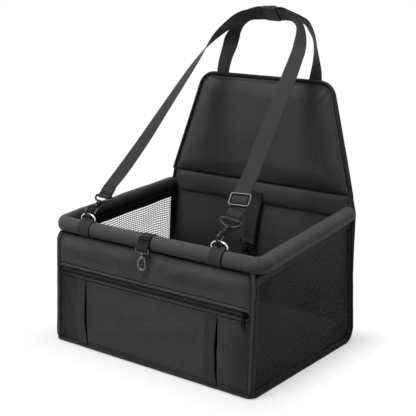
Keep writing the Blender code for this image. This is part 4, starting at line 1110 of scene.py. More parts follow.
def side_piping(word, sign):
    """The cord along the wall's foot and back, and the padded roll of the box's front corner."""
    bead = 2.1 * MM
    out = FABRIC / 2 + GAP + bead
    route = side_outline(bead + 0.5 * MM)
    top_back = route.index(min(route, key=lambda p: (-p[0], -p[1])))
    route = route[:top_back + 1][::-1] + [(FRONT_Y + 16 * MM, route[0][1])]
    line = [Vector((sign * (side_x(y, z) + out), y, z))
            for x, y, z in resampled([(0, *p) for p in route], 5 * MM)]
    cord = piping(word + "_side_cord", line, bead, sign, lambda p: p.y + p.z)
    dress(cord, "base", "outer_fabric", word + "_side_piping")

    points, turn, count = [], 16 * MM, 70
    for i in range(count):
        z = lerp(4.5 * MM, side_top(FRONT_Y) + 5 * MM, i / (count - 1))
        cut = (turn - math.sqrt(turn ** 2 - max(0.0, turn - z) ** 2)) * 0.8
        drawn = 6.5 * MM * max(0.0, (z - 174 * MM) / (27 * MM)) ** 2
        x = side_x(FRONT_Y, z) - 2.8 * MM - cut - drawn
        points.append(Vector((sign * x, front_y(z) + 2.6 * MM + cut + 0.5 * drawn, z)))
    made = tube(word + "_corner_roll", points, 4.0 * MM, FABRIC_LOOK, segments=20,
                shape=lambda p, a, way: 1 + 0.07 * wave(p.z, a * 4 * MM, 16 * MM, sign))
    flat_uv(made)
    dress(made, "base", "outer_fabric")


# The front

def hem(run, wide):
    """How far a folded hem stands out at a distance from its edge, with the stitched groove behind it."""
    return 2.0 * MM / (1 + math.exp((run - wide) / (0.22 * MM))) - 2.0 * MM * bell(run - wide, 1.1 * MM)


def swell(run):
    """The pocket's cloth puffs out a little just behind its hem."""
    return 1.0 * MM * bell(run - 8.2 * MM, 2.6 * MM)


def foot_groove(z):
    """The pocket's cloth is drawn in along its foot seam, just above the cord."""
    return 1.5 * MM * bell(z - 8.5 * MM, 2.2 * MM)


def drawn_in(x):
    """The pocket's cloth lies back towards its left end."""
    return 3.5 * MM * max(0.0, -x - 150 * MM) / (58 * MM)


def zip_closed(share):
    """How far the zip's opening is sewn shut near its two ends, where share runs from -1 to 1 across."""
    return 5.8 * MM * clamp((abs(share) * front_half(ZIP_Z) - 201.5 * MM) / (6.5 * MM)) ** 2


def front_lining():
    def place(u, v, depth):
        z = lerp(2.6 * MM, FRONT_TOP + 3 * MM, v)
        x = lerp(-1, 1, u) * (front_half(z) - 2.4 * MM)
        rear = 0.7 * MM * hold_down(x, z) * wave(x, z, 60 * MM, 4)
        return Vector((x, front_y(z) + 5.0 * MM + depth + rear, z))

    made = slab("front_lining", place, 2 * (SIDE_X - 3.6 * MM), FRONT_TOP, 2.2 * MM, 48, 26, DEEP_SHADE_LOOK)
    dress(made, "base", "lining_fabric", "front_panel")


def front_facing():
    """The cloth between the rim and the zip."""
    def place(u, v, depth):
        share = lerp(-1, 1, u)
        edge = FACING_LOW - zip_closed(share)
        z = lerp(edge, FRONT_TOP + 4 * MM, v)
        x = share * front_half(z)
        lift = rumple(x, z, 1, 2, 1.5) + creases(x, z, FACING_FOLDS)
        hold = math.sin(math.pi * clamp(v)) * hold_down(x, z) * (1 - clip_dent(x, z))
        return front_point(x, z, 1.6 * MM + depth - lift * hold - hem(z - edge, FACING_HEM))

    near_hem = [i * 0.5 * MM for i in range(1, 16)]
    made = slab("front_cloth", place, 2 * SIDE_X, FRONT_TOP - FACING_LOW, 2.0 * MM, 110, 22, FACING_LOOK,
                near_hem)
    dress(made, "base", "outer_fabric", "front_facing")


def slit(place, z):
    """The left and right edge of a slit in the pocket at a height."""
    head_x, foot_x, wide = SLITS[place]
    t = clamp((POCKET_HEAD - z) / POCKET_TALL)
    half = wide * math.sin(math.pi * clamp((t - 0.05) / 0.93)) ** 0.8 / 2
    center = lerp(head_x, foot_x, t)
    return center - half, center + half


def pocket_reach(word, z):
    """Where a section of the pocket starts and ends at a height."""
    left, right, lap = slit(0, z), slit(1, z), 1.5 * MM
    return {"left": (-front_half(z), left[0] - lap), "middle": (left[1], right[0] - lap),
            "right": (right[1], front_half(z))}[word]


def pocket():
    pieces = []
    for word in ("left", "middle", "right"):
        def place(u, v, depth, word=word):
            first, last = pocket_reach(word, lerp(POCKET_FOOT, POCKET_HEAD, v))
            edge = POCKET_HEAD + zip_closed(lerp(first, last, u) / front_half(ZIP_Z))
            z = lerp(POCKET_FOOT, edge, v)
            first, last = pocket_reach(word, z)
            x = lerp(first, last, u)
            lift = rumple(x, z, 6, 8) + creases(x, z, POCKET_FOLDS)
            curl = 0.9 * MM * math.exp(-(x - first) / (6 * MM)) * math.sin(math.pi * v)
            if word == "left":
                lift -= drawn_in(x)
                curl = 0.0
            hold = math.sin(math.pi * v) ** 0.7 * hold_down(x, z)
            return front_point(x, z, 0.6 * MM + depth - lift * hold - curl - hem(edge - z, POCKET_HEM)
                               - swell(edge - z) + foot_groove(z))

        first, last = pocket_reach(word, 60 * MM)
        columns = max(12, round((last - first) / (4.5 * MM)))
        near_hem = [POCKET_TALL - i * 0.5 * MM for i in range(1, 22)]
        pieces.append(slab("pocket_" + word, place, last - first, POCKET_TALL, 1.5 * MM, columns, 32, POCKET_LOOK,
                           near_hem))
    made = joined("pocket_cloth", pieces)
    dress(made, "base", "outer_fabric", "pocket_panel")


def pleat(i, word, look):
    """The band beside a slit, and a near-black sheet behind the slit that paints the shade in it."""
    def band(u, v, depth):
        z = lerp(POCKET_FOOT + 2 * MM, POCKET_HEAD - 1 * MM, v)
        x = lerp(PLEAT_STARTS[i], slit(i, z)[0], u)
        lift = rumple(x, z, 6, 8) - (0.0 if i else drawn_in(x))
        return front_point(x, z, -0.7 * MM + depth - lift * math.sin(math.pi * v) ** 0.7)

    def shade_stand_in(u, v, depth):
        z = lerp(POCKET_FOOT + 1 * MM, POCKET_HEAD - 1 * MM, v)
        x = lerp(-9 * MM, 9 * MM, u) + sum(slit(i, z)) / 2
        return Vector((x, front_y(z) + 3.2 * MM + depth, z))

    made = slab(word + "_pocket_band", band, 24 * MM, POCKET_TALL, 1.2 * MM, 10, 30, look)
    dress(made, "base", "webbing", word + "_pleat_band")
    made = slab(word + "_pleat_shade_sheet", shade_stand_in, 18 * MM, POCKET_TALL, 0.9 * MM, 8, 24, SHADE_LOOK)
    dress(made, "base", "outer_fabric")


def front_trim():
    """The cord along the front's foot, the thin ones up its sides, and its rows of stitches."""
    turn = 14 * MM
    corner_x, foot_y = SIDE_X + 3.2 * MM, FRONT_Y - 0.2 * MM
    plan = [(-corner_x, foot_y + turn + 9 * MM)]
    plan += arc((-corner_x + turn, foot_y + turn), turn, 180, 270, 8)
    plan += arc((corner_x - turn, foot_y + turn), turn, 270, 360, 8)
    plan += [(corner_x, foot_y + turn + 9 * MM)]
    line = resampled([(x, y, 3.4 * MM) for x, y in plan], 4 * MM)
    line = [p + Vector((0, 0.3 * MM * wave(p.x, 0, 30 * MM, 3), 0)) for p in line]
    dress(piping("front_foot_cord", line, 2.5 * MM, 1, lambda p: p.x), "base", "outer_fabric", "front_piping")
    side_cords("front_edge_cords", 9 * MM, FRONT_TOP, 90,
               lambda side, z: front_point(side * (front_half(z) - 2.4 * MM), z, 0.2 * MM), 0.9 * MM, 10)

    rows = []
    for z, depth, seed in ((FACING_LOW + FACING_HEM, 1.0 * MM, 1), (POCKET_HEAD - POCKET_HEM, 0.1 * MM, 2),
                           (POCKET_FOOT_Z + 5 * MM, -0.3 * MM, 4), (FRONT_TOP - 3.5 * MM, 0.5 * MM, 5)):
        reach = front_half(z) - 4 * MM
        count = round(2 * reach / (4 * MM))
        rows.append([front_point(lerp(-reach, reach, i / count), z + 0.2 * MM * wave(i, 0, 5, seed), depth)
                     for i in range(count + 1)])
    dress(stitches("front_stitches", rows), "base", "outer_fabric")


def zipper():
    def tape(u, v, depth):
        x = lerp(-ZIP_HALF - 4 * MM, ZIP_HALF + 4 * MM, u)
        return front_point(x, ZIP_Z + lerp(-0.5, 0.5, v) * (ZIP_TAPE + 2 * MM), 2.4 * MM + depth)

    made = slab("zip_tape", tape, 2 * ZIP_HALF, ZIP_TAPE, 0.9 * MM, 60, 6, TAPE_LOOK)
    dress(made, "base", "webbing", "zipper_tape")

    teeth_back = front_y(ZIP_Z) + 1.7 * MM
    pitch = 2.1 * MM
    points, faces = [], []
    for row, sign in ((0, 1), (1, -1)):
        for n in range(int(2 * (ZIP_HALF - 3 * MM) / pitch)):
            x = -ZIP_HALF + 3 * MM + (n + 0.5 + 0.5 * row) * pitch
            base = len(points)
            for grow, y in ((1.0, 0.0), (1.0, -0.8 * MM), (0.6, -1.3 * MM)):
                for sx, sz in ((-1, -1), (1, -1), (1, 1), (-1, 1)):
                    z = ZIP_Z + sign * 0.75 * MM + sz * grow * 1.25 * MM
                    points.append(Vector((x + sx * grow * 0.42 * pitch, teeth_back + y, z)))
            for level in (base, base + 4):
                for j in range(4):
                    k = (j + 1) % 4
                    faces.append([level + j, level + k, level + 4 + k, level + 4 + j])
            faces += [[base + j for j in range(4)], [base + 8 + j for j in range(4)]]
    dress(mesh_object("zip_teeth", points, faces, TOOTH_LOOK), "base", "black_plastic", "zipper_teeth")


# The back's cover, one cloth from the base to the flap's top

def back_cloth():
    radius = BACK_CORNER_R
    half_at = flap_half(-1 * MM, 0)
    curve = math.radians(90) * radius
    straight = SEAM_HIGH_Z - 1.2 * MM - radius
    flap_up = FLAP_RISE - 1 * MM
    total = curve + straight + flap_up
    foot_half = SIDE_X - 3.0 * MM

    def place(u, v, depth):
        run = v * total
        across = lerp(-1, 1, u)
        if run < curve:
            a = run / radius - math.pi / 2
            reach = radius + depth
            return Vector((foot_half * across, BACK_Y - radius + 1.6 * MM + reach * math.cos(a),
                           1.2 * MM + radius + reach * math.sin(a)))
        run -= curve
        if run < straight:
            z = 1.2 * MM + radius + run
            half = lerp(foot_half, back_half(z), min(1.0, run / (40 * MM)))
            ripple = 0.5 * MM * wave(half * across, z, 60 * MM, 14) * min(1.0, run / (20 * MM))
            groove = 0.7 * MM * bell(z - SEAM_HIGH_Z + 1 * MM, 2 * MM)
            return Vector((half * across, BACK_Y + 1.6 * MM + depth + ripple - groove, z))
        up = min(run - straight, flap_up)
        half = half_at(up)
        ripple = 0.5 * MM * wave(half * across, SEAM_HIGH_Z + up, 60 * MM, 14)
        return flap_point(half * across, up, 1.6 * MM + depth + ripple - 0.7 * MM * bell(up + 1 * MM, 2 * MM))

    made = slab("back_cloth", place, 420 * MM, total, 1.8 * MM, 44, 110, FABRIC_LOOK)
    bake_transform(made)
    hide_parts("back_cover", "flap_cover")

    bead = 2.6 * MM
    route = [flap_point(x, up, -0.6 * MM - GAP - bead) for x, up in flap_outline(0.8 * MM, 3 * MM)]
    cord = piping("flap_edge_cord", resampled(route, 5 * MM), bead, 2, lambda p: p.x + p.z)
    dress(cord, "flap", "outer_fabric", "flap_piping")

    inset = flap_outline(10.5 * MM, 6 * MM)
    line = resampled([flap_point(x, up, -4.3 * MM) for x, up in inset + inset[:1]], 4 * MM)
    dress(stitches("flap_stitches", [line]), "flap", "outer_fabric")
    side_cords("back_edge_cords", 36 * MM, SEAM_HIGH_Z - 2 * MM, 60,
               lambda side, z: Vector((side * (back_half(z) - 2.4 * MM), BACK_Y - 0.9 * MM, z)), 2.3 * MM, 12)


# The rim

def rim_route():
    """The rim's middle line, from its left rear end round the front to its right one."""
    reach = RIM_END_Y - 4 * MM
    x_end, z_end = rim_center(reach)
    corner = arc((RIM_FRONT_X - RIM_CORNER_R, RIM_FRONT_Y + RIM_CORNER_R), RIM_CORNER_R, 0, -90, 24)
    right = [(x_end, reach, z_end)] + [(x, y, rim_center(y)[1]) for x, y in corner]
    return [(-x, y, z) for x, y, z in right] + right[::-1]


def rim():
    line = resampled(rim_route(), 2.4 * MM)
    corner_x, corner_y = RIM_FRONT_X - RIM_CORNER_R, RIM_FRONT_Y + RIM_CORNER_R

    def shape(p, a, way):
        """The sleeve's waves, and the folds that its corners gather into on their inner side."""
        slow = 0.020 * wave(p.x + p.y, a * 12 * MM, 34 * MM, 1)
        fine = 0.010 * wave(p.x - p.y, a * 14 * MM, 11 * MM, 5)
        if abs(p.x) < corner_x - 30 * MM or p.y > corner_y + 30 * MM:
            return 1.0 + slow + fine
        near = math.exp(-max(0.0, math.hypot(abs(p.x) - corner_x, p.y - corner_y) - RIM_CORNER_R) / (16 * MM))
        bend = math.degrees(math.atan2(p.y - corner_y, abs(p.x) - corner_x))
        inward = max(0.0, -way.x * math.copysign(0.7, p.x) + 0.7 * way.y) * 0.7 + 0.3 + 0.3 * max(0.0, way.z)
        folds = sum(deep * bell(bend - at - 9 * way.z, wide) for at, wide, deep in RIM_FOLDS)
        return 1.0 + slow + fine - folds * inward * near

    made = tube("rim_cushion", line, RIM_R * 0.995, RIM_LOOK, segments=48, shape=shape)
    dress(made, "base", "outer_fabric", "rim_sleeve")

    seam, a = [], math.radians(-62)
    for p, along, side, other in travel(line):
        out = Z_AXIS.cross(along)
        if out.dot(p - Vector((0, 0.05, p.z))) < 0:
            out = -out
        seam.append(p + (out.normalized() * math.cos(a) + Z_AXIS * math.sin(a)) * RIM_R * 1.01)
    dress(stitches("rim_stitches", [seam[6:-6:2]]), "base", "outer_fabric")

    # A near-black tube in the crevice under the rim's front paints the shade there.
    reach = SIDE_X - 9 * MM
    shade_stand_in = [Vector((lerp(-reach, reach, i / 80), RIM_FRONT_Y - 12.0 * MM, RIM_FRONT_Z - 10.4 * MM))
            for i in range(81)]
    dress(tube("rim_crevice_shade", shade_stand_in, 1.2 * MM, SHADE_LOOK, segments=12), "base", "outer_fabric")


def rim_loop(word, width, direction, bar_reach, bar_r):
    """A webbing loop round the rim and a bar that lies off it in a direction. It gives the bar's (y, z)."""
    middle = (RIM_FRONT_Y, RIM_FRONT_Z)
    big, small = RIM_R + GAP + WEBBING_T / 2, bar_r + 2 * GAP + WEBBING_T / 2
    off = math.degrees(math.acos((big - small) / bar_reach))
    a = math.radians(direction)
    bar = (RIM_FRONT_Y + bar_reach * math.cos(a), RIM_FRONT_Z + bar_reach * math.sin(a))
    points = arc(middle, big, direction + off, direction + 360 - off, 56)
    points += arc(bar, small, direction - off, direction + off, 14)
    stations = [((LOOPS[word], y, z), X_AXIS) for y, z in points]
    look = CLIP_STRAP_LOOK if word == "center" else BAND_LOOK
    made = strap(word + "_rim_webbing", stations, width, WEBBING_T, look, loop=True)
    dress(made, "base", "webbing", "rim_loop_" + word)
    # A near-black cord along the loop's right edge paints the shadow that the loop casts.
    edge = LOOPS[word] + width / 2 + 0.3 * MM
    line = [Vector((edge, y, z)) for y, z in arc(middle, big - 0.4 * MM, 122, 232, 30)]
    dress(tube(word + "_loop_edge_shadow", line, 0.75 * MM, SHADE_LOOK, segments=8), "base", "webbing")
    return bar


def rim_fittings():
    """The two D-rings with their loops and snap hooks. It gives each hook's frame."""
    frames = {}
    for word, contact_x, lean, across, twist in HOOKS:
        x = LOOPS[word]
        y, z = rim_loop(word, LOOP_WIDTH, 90, BAR_RISE, RING_R)
        bow = [(x + sx * D_RING_HALF * 0.92, y, z) for sx in (-1, -0.5, 0, 0.5, 1)]
        for bx, by in arc((0, 0), 1, 0, 180, 14):
            bow.append((x + D_RING_HALF * bx, y, z + 3 * MM + (D_RING_RISE - 3 * MM) * by))
        ring = tube(word + "_dee", curved(bow, 4, loop=True), RING_R, STEEL_LOOK, loop=True, segments=20)
        dress(ring, "ring_" + word, "bright_steel", "d_ring_" + word)
        contact = Vector((contact_x, y, z + D_RING_RISE))
        eye = contact + Vector(lean).normalized() * JAW_REACH
        frames[word] = hook_frame(eye, contact, across)
        snap_hook("hook_" + word, frames[word], HOOK_SIZE, HOOK_SIZE, twist, WEBBING / 2 + 3.4 * MM, HOOK_LOOK,
                  "bright_steel", ("base", "snap_" + word, "snap_" + word + "_gate"))
    return frames


# Snap hooks

def framed(x, y, z, at):
    """A frame at a point, from its three directions."""
    place = Matrix((x, y, z)).transposed().to_4x4()
    place.translation = at
    return place


def hook_frame(eye, jaw, across):
    up = (Vector(eye) - Vector(jaw)).normalized()
    side = Vector(across)
    side = (side - up * side.dot(up)).normalized()
    return framed(side, up.cross(side), up, Vector(eye))


def snap_hook(word, place, size, hook_size, twist, half, look, slot, bodies, square=False):
    """A swivel snap hook in three pieces: eye with collar, hook with stem, and sprung gate."""
    k, h = size * MM, hook_size * MM
    across = [(-half, 0), (-half / 2, 0), (0, 0), (half / 2, 0), (half, 0)]
    if square:
        down = [(half * 1.03, -4 * k), (half * 1.02, -9.4 * k), (half * 0.9, -10.6 * k), (half * 0.45, -10.9 * k)]
        down.append((0, -11.2 * k))
    else:
        down = [(half * 1.06, -3 * k), (half * 0.86, -7.5 * k), (half * 0.45, -10.4 * k), (0, -11.4 * k)]
    line = [(x, 0, z) for x, z in across + down + [(-x, z) for x, z in down[-2::-1]]]
    loop = [place @ p for p in curved(line, 5, loop=True)]
    eye = tube(word + "_loop", loop, size * EYE_WIRE_R, look, loop=True, segments=18)
    collar = lathe(word + "_collar", [(r * k, z * k) for r, z in COLLAR], place, look)
    dress(joined(word + "_swivel_eye", [eye, collar]), bodies[0], slot, word + "_eye")

    lowered = place @ Matrix.Rotation(math.radians(twist), 4, "Z")
    lowered = lowered @ Matrix.Translation((0, 0, COLLAR_FOOT * (h - k)))
    knob = lathe(word + "_shoulder", [(r * h, z * h) for r, z in SHOULDER], lowered, look)
    jaw, lever = ([lowered @ p for p in curved([(x * h, 0, z * h) for x, z in outline], steps)]
                  for outline, steps in ((JAW, 5), (LEVER, 4)))
    radii = [h * lerp(1.9, 2.05, min(1.0, i / 12)) for i in range(len(jaw))]
    for i in range(8):
        radii[-1 - i] = h * lerp(1.5, 2.05, i / 8)
    claw = tube(word + "_claw", jaw, radii, look, segments=18)
    dress(joined(word + "_snap", [knob, claw]), bodies[1], slot, word + "_hook")

    bar = tube(word + "_lever", lever, h * 1.7, look, segments=14)
    thumb = [lowered @ Vector((x * h, 0, z * h)) for x, z in THUMB]
    nub = tube(word + "_thumb", thumb, [h * 1.0, h * 0.9, h * 0.8], look, segments=12)
    dress(joined(word + "_spring_gate", [bar, nub]), bodies[2], slot, word + "_gate")


# Straps

def strap_foot(place, toward, bar_r):
    """Webbing that turns round a bar, with the directions across it, along it and out of it."""
    bar = place.translation
    across = (place.to_3x3() @ X_AXIS).normalized()
    along = Vector(toward)
    along = (along - across * along.dot(across)).normalized()
    face = across.cross(along)
    face = -face if face.y > 0 else face
    lap = bar_r + GAP + WEBBING_T / 2
    tight = face * (WEBBING_T / 2 + GAP / 2)
    ups = [lerp(20 * MM, 7 * MM, i / 4) for i in range(5)]
    points = [bar - tight + along * up for up in ups]
    for a in (math.pi * i / 16 for i in range(17)):
        points.append(bar - face * lap * math.cos(a) - along * lap * math.sin(a))
    points += [bar + tight + along * up for up in ups[::-1]]
    return [(p, across) for p in points], across, along, face


def box_stitch(center, along, across, face, length, width):
    """A sewn box with its diagonals, on one face of the webbing."""
    lift = face * (WEBBING_T * 0.5)
    corners = [center + along * a * length / 2 + across * b * width / 2 + lift
               for a, b in ((-1, -1), (1, -1), (1, 1), (-1, 1))]
    sides = [[corners[i], corners[(i + 1) % 4]] for i in range(4)]
    return sides + [[corners[0], corners[2]], [corners[1], corners[3]]]


def unit_stations(picked):
    return [(Vector(p) * MM, Vector(d).normalized()) for p, d in picked]


def strap_end(word, bar, across, along, face):
    """The folded end of a front strap: its tail, three rows of stitches, and near-black tubes that paint the
    shade where it folds.
    """
    over = WEBBING_T * 1.5 + GAP * 0.6

    def spot(up, out):
        return bar + along * up * MM + face * out

    tail = [(spot(up, over * out), across)
            for up, out in ((3.6, 0.55), (6, 0.95), (9, 1.0), (13, 1.0), (17, 1.0), (19.5, 1.0))]
    dress(strap(word + "_strap_tail", tail, WEBBING - 1 * MM, WEBBING_T, BAND_LOOK), "base", "webbing")
    rows = [[spot(up, over + WEBBING_T * 0.5) + across * x * MM for x in (-12.5, 12.5)]
            for up in (7.5, 9.3, 16.5)]
    dress(stitches(word + "_strap_stitches", rows, 2.6 * MM, 0.45 * MM), "base", "webbing")
    reach = WEBBING / 2 - 1.2 * MM
    folds = []
    for up, out in ((4.6, 0.8), (20.2, 0.75)):
        line = [spot(up, over * out) + across * reach * i for i in (-1, -0.5, 0, 0.5, 1)]
        folds.append(tube("fold", line, 1.0 * MM, SHADE_LOOK, segments=10))
    dress(joined(word + "_strap_shade_lines", folds), "base", "webbing")


def straps(frames):
    """The four straps to the buckle. It gives the right front one's route, which the adjuster slides on."""
    across_top = Vector((0, -0.7, 0.714)).normalized()
    buckle = framed(X_AXIS, -across_top, X_AXIS.cross(-across_top), BUCKLE_AT)
    across_top = buckle.to_3x3() @ Vector((0, -1, 0))
    turn = ((24, -1), (18.6, -1), (17.5, -1), (16.4, -0.8), (15.8, 0), (16.4, 0.8), (17.5, 1), (19.4, 1))
    signs = {"left": -1, "right": 1}
    starts = {"left": (0, -0.06, 0.32), "right": (0, -0.045, 0.34)}
    routes = {}
    for word, hook in frames.items():
        picked = FRONT_STRAPS[word]
        toward = Vector(picked[0][0]) * MM - hook.translation
        foot, across, along, face = strap_foot(hook, toward, HOOK_SIZE * EYE_WIRE_R)
        ends = [(signs[word] * x * MM, 0, side * BAR_LAP) for x, side in turn]
        route = [(foot[-1][0], across)] + unit_stations(picked) + [(buckle @ Vector(ends[0]), across_top)]
        stations = foot[:-1] + eased(route, 9)
        stations += [(buckle @ point, across_top) for point in curved(ends, 4)[1:]]
        made = strap(word + "_front_webbing", stations, WEBBING, WEBBING_T, WEBBING_LOOK)
        Vector(starts[word])
        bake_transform(made)
        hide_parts("front_strap_" + word)
        strap_end(word, hook.translation, across, along, face)
        routes[word] = foot[:-1] + eased(route, 3)

    behind = 3.2 * MM + GAP + WEBBING_T / 2
    for word, (foot_x, picked) in REAR_STRAPS.items():
        sign = signs[word]
        sewn, top = (flap_point(foot_x * MM, FLAP_RISE - drop, behind) for drop in (34 * MM, 4 * MM))
        low = [(sewn.lerp(top, i / 4), X_AXIS) for i in range(4)]
        route = [(top, X_AXIS)] + unit_stations(picked)
        route += [(buckle @ Vector((sign * x * MM, 0, BAR_LAP)), across_top * sign) for x in (26, 20.8)]
        made = strap(word + "_rear_webbing", low + eased(route, 9), WEBBING, WEBBING_T, WEBBING_LOOK)
        dress(made, "flap", "webbing", "rear_strap_" + word)
        up = (top - sewn).normalized()
        out = up.cross(X_AXIS).normalized()
        out = out if out.y > 0 else -out
        box = box_stitch(sewn.lerp(top, 0.42), up, X_AXIS, out, 20 * MM, 22 * MM)
        dress(stitches(word + "_rear_stitches", box, 2.8 * MM), "flap", "webbing")
    return routes["right"]


def adjuster(hook, stations):
    """The sliding metal rectangle with its middle bar, on the right strap."""
    i = 0
    while (stations[i + 1][0] - hook.translation).length < ADJUSTER_UP:
        i += 1
    below, above = stations[i][0], stations[i + 1][0]
    t = (ADJUSTER_UP - (below - hook.translation).length) / (above - below).length
    along = (above - below).normalized()
    across = (stations[i + 1][1] - along * stations[i + 1][1].dot(along)).normalized()
    face = across.cross(along)
    clear = WEBBING_T / 2 + 2 * GAP + 1.5 * MM
    place = framed(across, along, face, below.lerp(above, t) + face * clear)
    half_w, half_h, r = WEBBING / 2 + 2.8 * MM, 11 * MM, 3.4 * MM
    ring = []
    for (sx, sy), start in zip(((1, 1), (-1, 1), (-1, -1), (1, -1)), (0, 90, 180, 270)):
        ring += arc((sx * (half_w - r), sy * (half_h - r)), r, start, start + 90, 6)
    line = resampled([place @ Vector((x, y, 0)) for x, y in ring + ring[:1]], 2.5 * MM)[:-1]
    outer = tube("adjuster_ring", line, 1.5 * MM, ADJUSTER_LOOK, loop=True, segments=18,
                 shape=lambda p, a, way: 1.28 - 0.28 * abs(way.dot(face)))
    behind = -2 * clear
    right = [(half_w - 1.2 * MM, behind), (half_w, behind + 1.2 * MM), (half_w, 0.2 * MM)]
    bar = [place @ Vector((x, 0, z)) for x, z in [(-x, z) for x, z in right[::-1]] + right]
    middle = tube("adjuster_middle", resampled(bar, 2 * MM), 1.35 * MM, ADJUSTER_LOOK, segments=14)
    dress(joined("adjuster_frame", [outer, middle]), "adjuster", "bright_steel", "strap_adjuster")
    half_bow = [(0, 0.9), (2.0, 0.75), (4.0, 0.3), (6.0, -0.6), (7.6, -1.15)]
    bow = [(-y, z) for y, z in half_bow[:0:-1]] + half_bow
    wrap = [(place @ Vector((0, y * MM, z * MM)), across) for y, z in bow]
    dress(strap("adjuster_webbing", wrap, WEBBING - 1.5 * MM, 1.2 * MM, WEBBING_LOOK), "adjuster", "webbing")


# Leash and clip

def leash():
    sewn_y = BACK_Y - 8.7 * MM - GAP - WEBBING_T / 2
    y = sewn_y - 3.4 * MM
    eye = Vector((LEASH_EYE.x, y, LEASH_EYE.z))
    up = (LEASH_TOP - LEASH_EYE).normalized()
    place = hook_frame(eye, eye - up, Vector((0, 1, 0)).cross(up))
    snap_hook("leash", place, LEASH_SIZE, LEASH_SIZE, 20, WEBBING / 2 + 2.8 * MM, DARK_LOOK, "dark_metal",
              ("leash", "leash_snap", "leash_snap_gate"), square=True)
    foot, across, along, face = strap_foot(place, up, LEASH_SIZE * EYE_WIRE_R)
    hang = [(foot[-1][0], across)]
    for height, depth in ((200 * MM, y), (234 * MM, sewn_y), (LEASH_TOP.z, sewn_y)):
        t = (height - LEASH_EYE.z) / (LEASH_TOP.z - LEASH_EYE.z)
        hang.append((Vector((lerp(LEASH_EYE.x, LEASH_TOP.x, t), depth, height)), across))
    made = strap("leash_webbing", foot[:-1] + eased(hang, 8), WEBBING, WEBBING_T, BAND_LOOK)
    dress(made, "leash", "webbing", "leash_strap")
    rows = box_stitch(foot[-1][0] - along * 6 * MM, along, across, face, 10 * MM, 22 * MM)
    rows += box_stitch(Vector((LEASH_TOP.x, sewn_y, LEASH_TOP.z - 8 * MM)), along, across, face, 9 * MM, 22 * MM)
    dress(stitches("leash_stitches", rows, 2.6 * MM), "leash", "webbing")


def center_clip():
    x = LOOPS["center"]
    y, z = rim_loop("center", CLIP_WIDTH, CLIP_DIRECTION, RIM_R + 6.6 * MM, CLIP_SIZE * EYE_WIRE_R)
    snap_hook("clip", hook_frame((x, y, z), (x, y, z - 30 * MM), (1, 0, 0)), CLIP_SIZE, CLIP_HOOK_SIZE, 8,
              CLIP_WIDTH / 2 + 2.2 * MM, CLIP_LOOK, "dark_metal", ("clip", "clip_snap", "clip_snap_gate"),
              square=True)
    middle = RIM_R + GAP + WEBBING_T + 1.0 * MM
    keeper = [((x, y, z), X_AXIS) for y, z in arc((RIM_FRONT_Y, RIM_FRONT_Z), middle, 138, 186, 16)]
    dress(strap("clip_keeper", keeper, CLIP_WIDTH + 1.6 * MM, 1.8 * MM, CLIP_STRAP_LOOK), "base", "webbing")
    # Near-black tubes at the keeper's ends and at its fold paint the shade lines there.
    folds = []
    for angle, rise in ((137.5, 0.2 * MM), (151, 0.9 * MM), (187, 0.2 * MM)):
        a, reach = math.radians(angle), middle + rise
        spot = Vector((x, RIM_FRONT_Y + reach * math.cos(a), RIM_FRONT_Z + reach * math.sin(a)))
        line = [spot + X_AXIS * CLIP_WIDTH * i / 4 * 0.94 for i in range(-2, 3)]
        folds.append(tube("fold", line, 0.85 * MM, SHADE_LOOK, segments=10))
    dress(joined("clip_strap_shade_lines", folds), "base", "webbing")


# Solids whose shape stays, with a finish

def keep(names, look, rounding=0.0):
    for name in names:
        obj = nodes[name]
        obj.data.materials.clear()
        obj.data.materials.append(look)
        if rounding:
            obj.modifiers.new("weld", "WELD").merge_threshold = 0.01 * MM
            edge = obj.modifiers.new("edge", "BEVEL")
            edge.width = rounding
            edge.segments = 2
            edge.limit_method = "ANGLE"
            edge.angle_limit = math.radians(35)


# Camera, floor and light

def camera():
    data = bpy.data.cameras.new("camera")
    data.sensor_width = SENSOR
    data.lens = FOCAL_PIXELS / FRAME_PIXELS * SENSOR
    data.clip_start = 0.05
    made = bpy.data.objects.new("camera", data)
    scene.collection.objects.link(made)
    made.matrix_world = framed(CAMERA_RIGHT, CAMERA_UP, -CAMERA_LOOK, CAMERA_AT)
    scene.camera = made


def seen(tree):
    """1 for what the camera, a reflection or a clear material sees, and 0 for light that falls on things."""
    path = tree.node("ShaderNodeLightPath").outputs
    clear = tree.math("MAXIMUM", path["Is Camera Ray"], path["Is Glossy Ray"])
    return tree.math("MAXIMUM", clear, path["Is Transmission Ray"])


def far_out(tree):
    """0 on the floor beside the object's base, and 1 a hand's width away from it."""
    place = tree.split(tree.node("ShaderNodeNewGeometry").outputs["Position"])
    squares = []
    for axis, half in ((0, SIDE_X), (1, BACK_Y)):
        past = tree.math("SUBTRACT", tree.math("ABSOLUTE", place[axis]), half)
        squares.append(tree.math("POWER", tree.math("MAXIMUM", past, 0.0), 2.0))
    return tree.spread(tree.math("SQRT", tree.math("ADD", *squares)), 0.0, SHADOW_REACH)


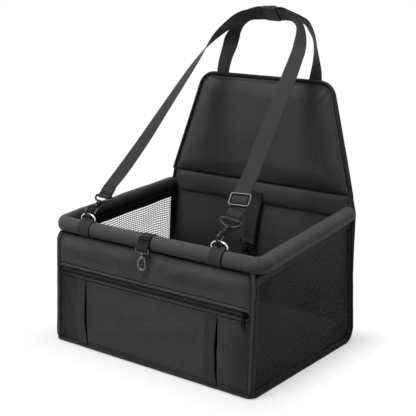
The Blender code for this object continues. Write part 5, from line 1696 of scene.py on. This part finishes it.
def floor():
    edit = bmesh.new()
    bmesh.ops.create_grid(edit, x_segments=8, y_segments=8, size=6)
    mesh = bpy.data.meshes.new("floor")
    edit.to_mesh(mesh)
    edit.free()
    made = bpy.data.objects.new("floor", mesh)
    scene.collection.objects.link(made)
    made.location.z = -0.5 * MM
    pale = bpy.data.materials.new("pale_floor")
    pale.use_nodes = True
    tree = Nodes(pale.node_tree)
    tree.tree.nodes.remove(tree.tree.nodes["Principled BSDF"])

    def plain(kind, level):
        shader = tree.node(kind)
        shader.inputs["Color"].default_value = (level, level, level, 1)
        return shader.outputs[0]

    def mixed(kind, *sources):
        shader = tree.node(kind)
        for source, socket in zip(sources, shader.inputs):
            tree.link(source, socket)
        return shader.outputs[0]

    shaded = mixed("ShaderNodeAddShader", plain("ShaderNodeBsdfDiffuse", FLOOR_SHARE),
                   plain("ShaderNodeEmission", FLOOR_GLOW))
    near = mixed("ShaderNodeMixShader", far_out(tree), shaded, plain("ShaderNodeEmission", 1.0))
    looks = mixed("ShaderNodeMixShader", seen(tree), plain("ShaderNodeBsdfDiffuse", FLOOR_BOUNCE), near)
    tree.link(looks, tree.tree.nodes["Material Output"].inputs["Surface"])
    mesh.materials.append(pale)


def light():
    world = bpy.data.worlds.new("studio")
    world.use_nodes = True
    scene.world = world
    tree = Nodes(world.node_tree)
    sky = world.node_tree.nodes["Background"]
    sky.inputs["Color"].default_value = (1, 1, 1, 1)
    tree.link(tree.spread(seen(tree), 0.0, 1.0, WORLD_LIGHT), sky.inputs["Strength"])
    for name, at, size, power in LAMPS:
        data = bpy.data.lights.new(name, "AREA")
        data.shape = "DISK"
        data.size = size
        data.energy = power
        lamp = bpy.data.objects.new(name, data)
        scene.collection.objects.link(lamp)
        lamp.location = at
        lamp.rotation_euler = (Vector((0, 0, 0.2)) - Vector(at)).to_track_quat("-Z", "Y").to_euler()


scene.view_settings.view_transform = "Standard"
camera()
floor()
light()
base_cover()
pads()
for word, sign in (("left", -1), ("right", 1)):
    side_binding(word, sign)
    side_net(word, sign)
    side_piping(word, sign)
front_lining()
front_facing()
pocket()
pleat(0, "left", SOFT_BAND_LOOK)
pleat(1, "right", BAND_LOOK)
front_trim()
zipper()
back_cloth()
rim()
frames = rim_fittings()
adjuster(frames["right"], straps(frames))
leash()
center_clip()
keep(("base_board", "back_board", "flap_board"), BOARD_LOOK)
keep(("rim_tube_front", "rim_tube_left", "rim_tube_right", "rim_elbow_left", "rim_elbow_right"), TUBE_LOOK)
keep(("buckle_socket", "buckle_plug", "buckle_prong_front", "buckle_prong_rear"), PLASTIC_LOOK, 0.5 * MM)
keep(("zipper_slider", "zipper_pull"), DARK_LOOK, 0.25 * MM)
